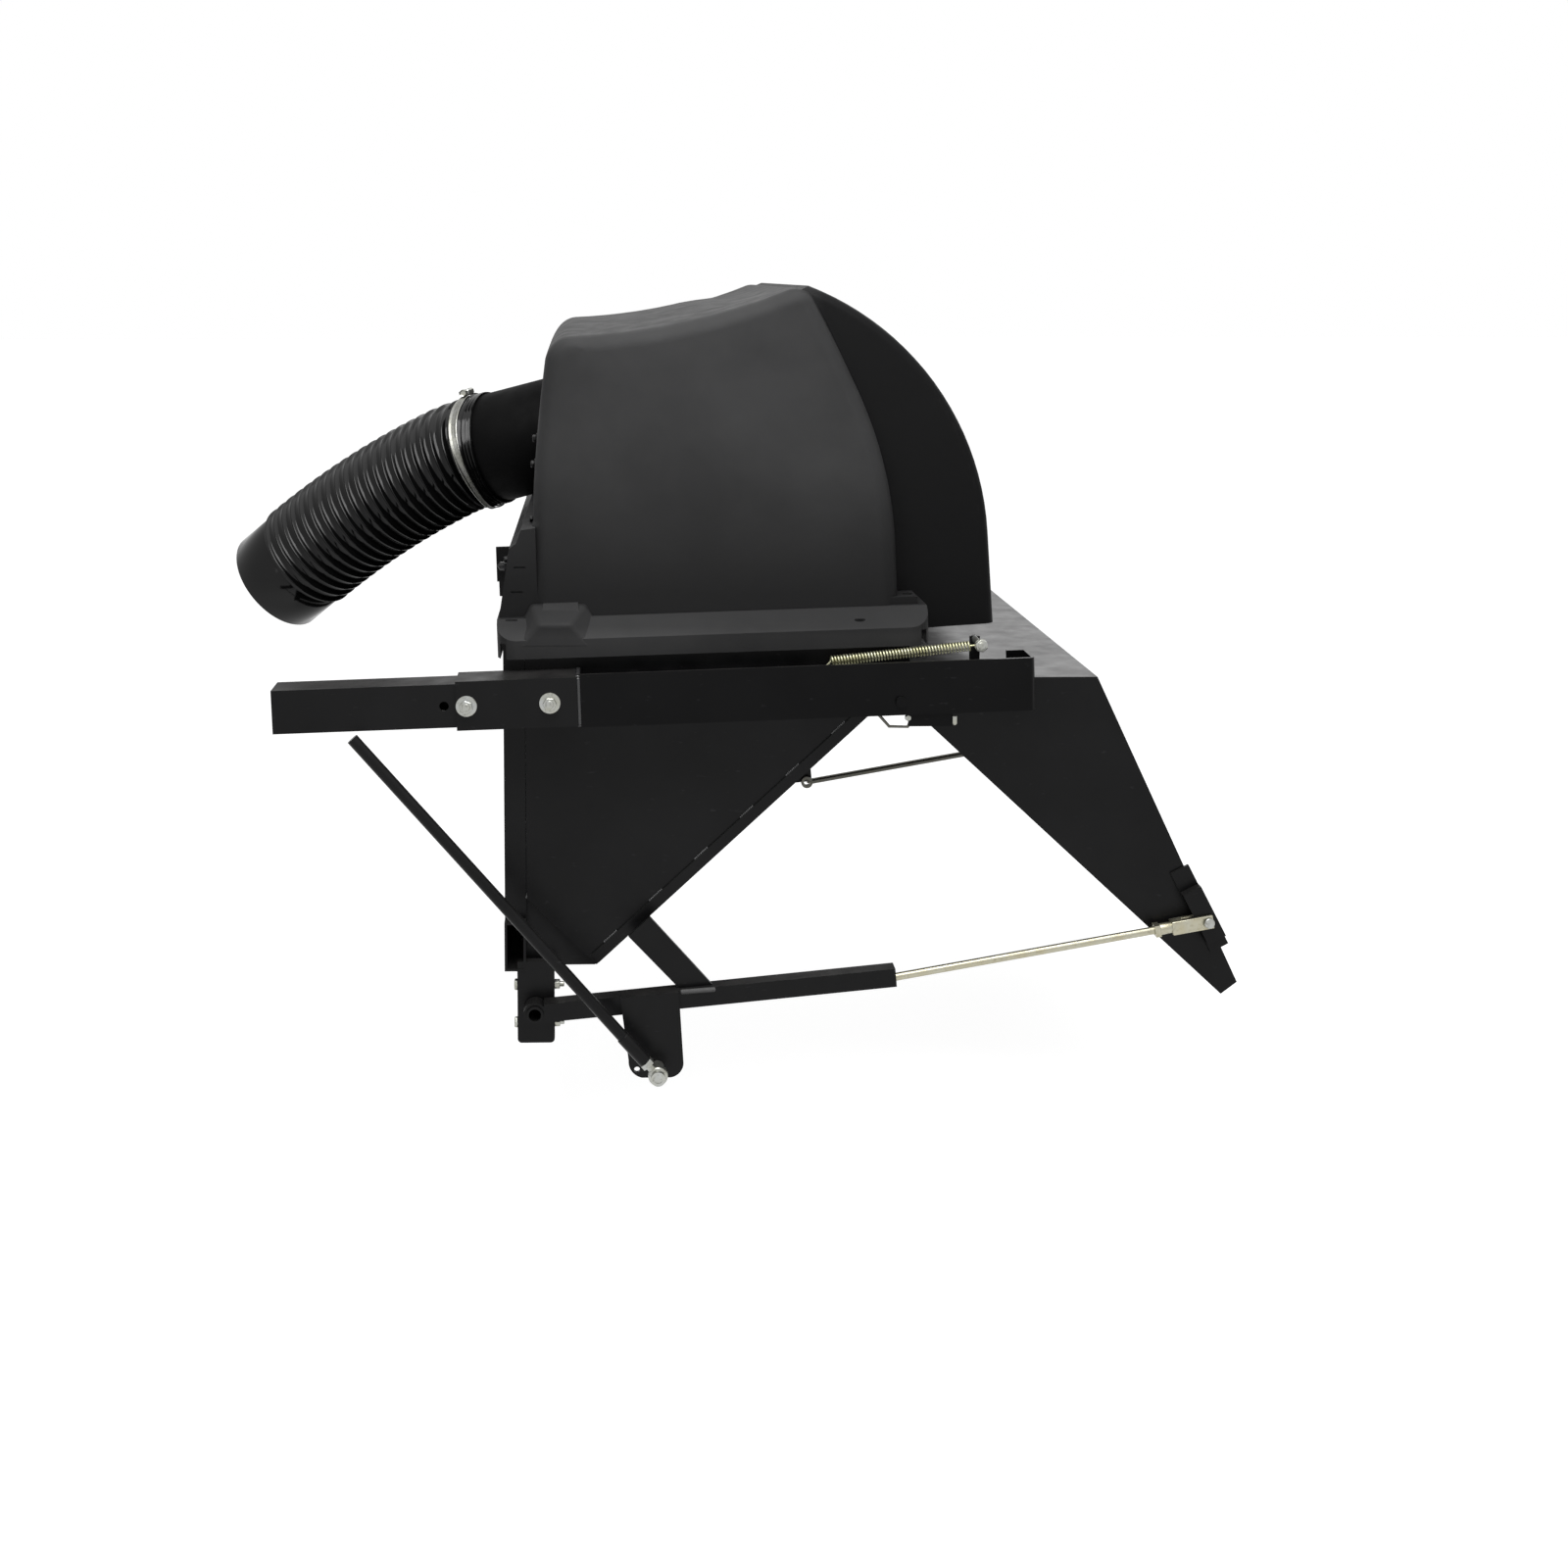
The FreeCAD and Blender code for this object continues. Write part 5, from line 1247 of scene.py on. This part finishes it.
@dataclass
class Springs(Assembly):
    """The balance springs with their hooks. Millimetres and degrees."""

    hook: Span = (336.0, 407.0)
    coil_start: Span = (347.9, 419.0)
    anchor: Span = (523.0, 437.5)
    angle: float = 6.0
    length: float = 164.0
    plane: float = 486.0
    radius: float = 6.3
    wire: float = 1.2
    turns: int = 46
    stud: float = 4.3

    def build(self) -> None:
        """Models both springs and dresses their studs."""
        self.paint_nodes(self.finishes.zinc, ["spring_studs"])
        for side in Side:
            spring = self.spring(side)
            self.keep(spring, "frame", self.finishes.spring, "zinc_plate", [f"spring_{side.word}"])

    def spring(self, side: Side) -> Piece:
        """A closed coil with an eye bent up at each end."""
        way = slope(self.angle)
        base = side.at(self.coil_start[0], self.plane, self.coil_start[1])
        coil = start(
            bpy.ops.mesh.primitive_circle_add, "coil", vertices=8, radius=self.wire * MM,
            rotation=(math.radians(90), 0.0, 0.0),
        )
        settle(coil)
        move_points(coil, lambda point: point + Vector(((self.radius - self.wire) * MM, 0.0, 0.0)))
        pitch = self.length / self.turns * MM
        modify(coil, "SCREW", axis="Z", screw_offset=pitch, iterations=self.turns, steps=14, render_steps=14)
        settle(coil, facing(base, way))
        parts = [coil]
        for eye, end in ((self.hook, base), (self.anchor, base + way * self.length * MM)):
            parts.append(self.eye(side, eye))
            parts.append(self.shank(side.at(eye[0], self.plane, eye[1]), end))
        whole = join(parts, f"balance_spring_{side.word}")
        mend(whole)
        smooth(whole, 60.0)
        return whole

    def eye(self, side: Side, spot: Span) -> Piece:
        """The wire's loop round a stud."""
        loop = start(
            bpy.ops.mesh.primitive_torus_add, "eye", major_segments=28, minor_segments=8,
            major_radius=(self.stud + self.wire) * MM, minor_radius=self.wire * MM,
        )
        return settle(loop, facing(side.at(spot[0], self.plane, spot[1]), side.outward))

    def shank(self, eye: Vector, end: Vector) -> Piece:
        """The straight wire between an eye and the coil."""
        way = (end - eye).normalized()
        first = eye + way * 4.5 * MM
        reach = (end - first).length / MM
        return settle(rod("shank", self.wire, reach, (0, 0, reach / 2), sides=8), facing(first, way))


@dataclass
class Door(Assembly):
    """The discharge door, modelled fully open. Millimetres."""

    stud: Span = (523.0, 441.0)
    anchor_nut: Point = (523.0, 489.0, 437.5)
    pin_cap: Point = (804.8, 478.4, 97.1)

    def slimmed(self, point: Vector) -> Vector:
        """Narrows the spring's bracket round its bolt."""
        middle, top = (value * MM for value in self.stud)
        return Vector((middle + (point.x - middle) * 0.5, point.y, min(point.z, top)))

    def build(self) -> None:
        """Dresses the door's sheet metal, narrows the springs' brackets and adds nuts and pin heads."""
        steel = [f"{stem}_{side.word}" for stem in ("door_side", "door_bracket") for side in Side]
        self.paint_nodes(self.finishes.paint, ["door_skin"] + steel)
        for side in Side:
            tab = cast(f"spring_bracket_{side.word}", f"spring_tab_{side.word}")
            move_points(tab, self.slimmed)
            self.keep(tab, "door", self.finishes.paint, "black_paint", [f"spring_bracket_{side.word}"])
        self.paint_nodes(self.finishes.zinc, ["yoke_pins", "spring_bolts"])
        places = [facing(side.at(*self.anchor_nut), side.outward, 12.0) for side in Side]
        nuts = Bolt(13.5, 5.0, 7.6, 1.2, end_length=1.5).copies("anchor_nuts", places)
        self.keep(nuts, "door", self.finishes.zinc, "zinc_plate")
        caps = []
        for side in Side:
            cap = rod("cap", 6.3, 4.0, bevel=(1.8, 4))
            smooth(cap)
            caps.append(settle(cap, facing(side.at(*self.pin_cap), side.outward)))
        self.keep(join(caps, "pin_heads"), "door", self.finishes.zinc, "zinc_plate")


@dataclass(frozen=True)
class Studio:
    """The camera, the floor and backdrop, and the lamps. Metres and degrees."""

    eye: Point = (0.0814, -2.7975, 0.8700)
    pitch: float = -5.594
    yaw: float = -1.604
    lens: float = 46.18
    shift: Span = (0.08, -0.20)
    floor: float = -0.20
    world_strength: float = 0.22
    floor_glow: float = 0.93

    def build(self) -> None:
        """Sets the camera, the stage and the light."""
        self.set_camera()
        self.set_stage()
        self.set_world()
        for name, spot, size, power in (
            ("over", (0.15, -0.9, 1.75), 1.1, 27.0),
            ("top", (0.3, 0.1, 2.9), 2.2, 13.0),
            ("key", (0.4, -2.4, 2.2), 1.6, 8.0),
            ("back", (1.4, 2.0, 1.8), 1.6, 12.0),
        ):
            self.add_lamp(name, spot, size, power)
        bpy.context.scene.view_settings.view_transform = "Standard"

    def set_camera(self) -> None:
        """The camera, at the photograph's viewing angle."""
        data = bpy.data.cameras.new("camera")
        data.lens = self.lens
        data.sensor_width = 36.0
        data.shift_x, data.shift_y = self.shift
        camera = bpy.data.objects.new("camera", data)
        camera.location = self.eye
        camera.rotation_euler = (math.radians(90.0 + self.pitch), 0.0, math.radians(self.yaw))
        bpy.context.scene.collection.objects.link(camera)
        bpy.context.scene.camera = camera

    def pale_material(self) -> Material:
        """Pale matte paint that looks white to the camera and keeps the object's shadow."""
        wiring = Wiring("pale_floor")
        tone = wiring.mix(wiring.noise(1.5, 3.0), (0.42, 0.42, 0.42), (0.46, 0.46, 0.46))
        wiring.link(tone, wiring.shader.inputs["Base Color"])
        wiring.shader.inputs["Roughness"].default_value = 0.85
        wiring.shader.inputs["Specular IOR Level"].default_value = 0.1
        path = wiring.tree.nodes.new("ShaderNodeLightPath")
        seen = wiring.maths("MAXIMUM", path.outputs["Is Camera Ray"], path.outputs["Is Glossy Ray"])
        glow = wiring.spread(seen, 0.0, 1.0, 0.0, self.floor_glow)
        wiring.shader.inputs["Emission Color"].default_value = (1.0, 1.0, 1.0, 1.0)
        wiring.link(glow, wiring.shader.inputs["Emission Strength"])
        return wiring.material

    def set_stage(self) -> None:
        """A wide floor below the door's sweep."""
        plane = start(bpy.ops.mesh.primitive_plane_add, "stage_floor", size=60.0, location=(0.0, 0.0, self.floor))
        settle(plane)
        dress(plane, self.pale_material())

    def set_world(self) -> None:
        """Even light from all round, and white where the camera, gloss and glass see past the floor."""
        world = bpy.data.worlds.new("studio")
        bpy.context.scene.world = world
        world.use_nodes = True
        tree = world.node_tree
        tree.nodes.clear()
        output = tree.nodes.new("ShaderNodeOutputWorld")
        back = tree.nodes.new("ShaderNodeBackground")
        path = tree.nodes.new("ShaderNodeLightPath")
        seen = path.outputs["Is Camera Ray"]
        for other in ("Is Glossy Ray", "Is Transmission Ray"):
            either = tree.nodes.new("ShaderNodeMath")
            either.operation = "MAXIMUM"
            tree.links.new(seen, either.inputs[0])
            tree.links.new(path.outputs[other], either.inputs[1])
            seen = either.outputs["Value"]
        strength = tree.nodes.new("ShaderNodeMapRange")
        strength.inputs["To Min"].default_value = self.world_strength
        strength.inputs["To Max"].default_value = 1.0
        tree.links.new(seen, strength.inputs["Value"])
        tree.links.new(strength.outputs["Result"], back.inputs["Strength"])
        back.inputs["Color"].default_value = (1.0, 1.0, 1.0, 1.0)
        tree.links.new(back.outputs["Background"], output.inputs["Surface"])

    def add_lamp(self, name: str, spot: Point, size: float, power: float) -> None:
        """A soft lamp that looks at the bagger's middle.

        Args:
            name: the lamp's name.
            spot: where it stands.
            size: its edge.
            power: its power in watts.
        """
        data = bpy.data.lights.new(name, "AREA")
        data.size = size
        data.energy = power
        lamp = bpy.data.objects.new(name, data)
        lamp.location = spot
        aim = Vector((0.25, 0.0, 0.45)) - Vector(spot)
        lamp.rotation_euler = aim.to_track_quat("-Z", "Y").to_euler()
        bpy.context.scene.collection.objects.link(lamp)


def main() -> None:
    """Builds the sub-assemblies in order and reports each piece."""
    logging.basicConfig(level=logging.INFO, format="%(name)s: %(message)s")
    Studio().build()
    finishes = Finishes()
    for kind in (Hood, Inlet, Hopper, Rails, LiftGear, Springs, Door):
        assembly = kind(finishes)
        assembly.build()
        LOG.info("%s: %s", kind.__name__, ", ".join(assembly.made))


if __name__ == "__main__":
    main()
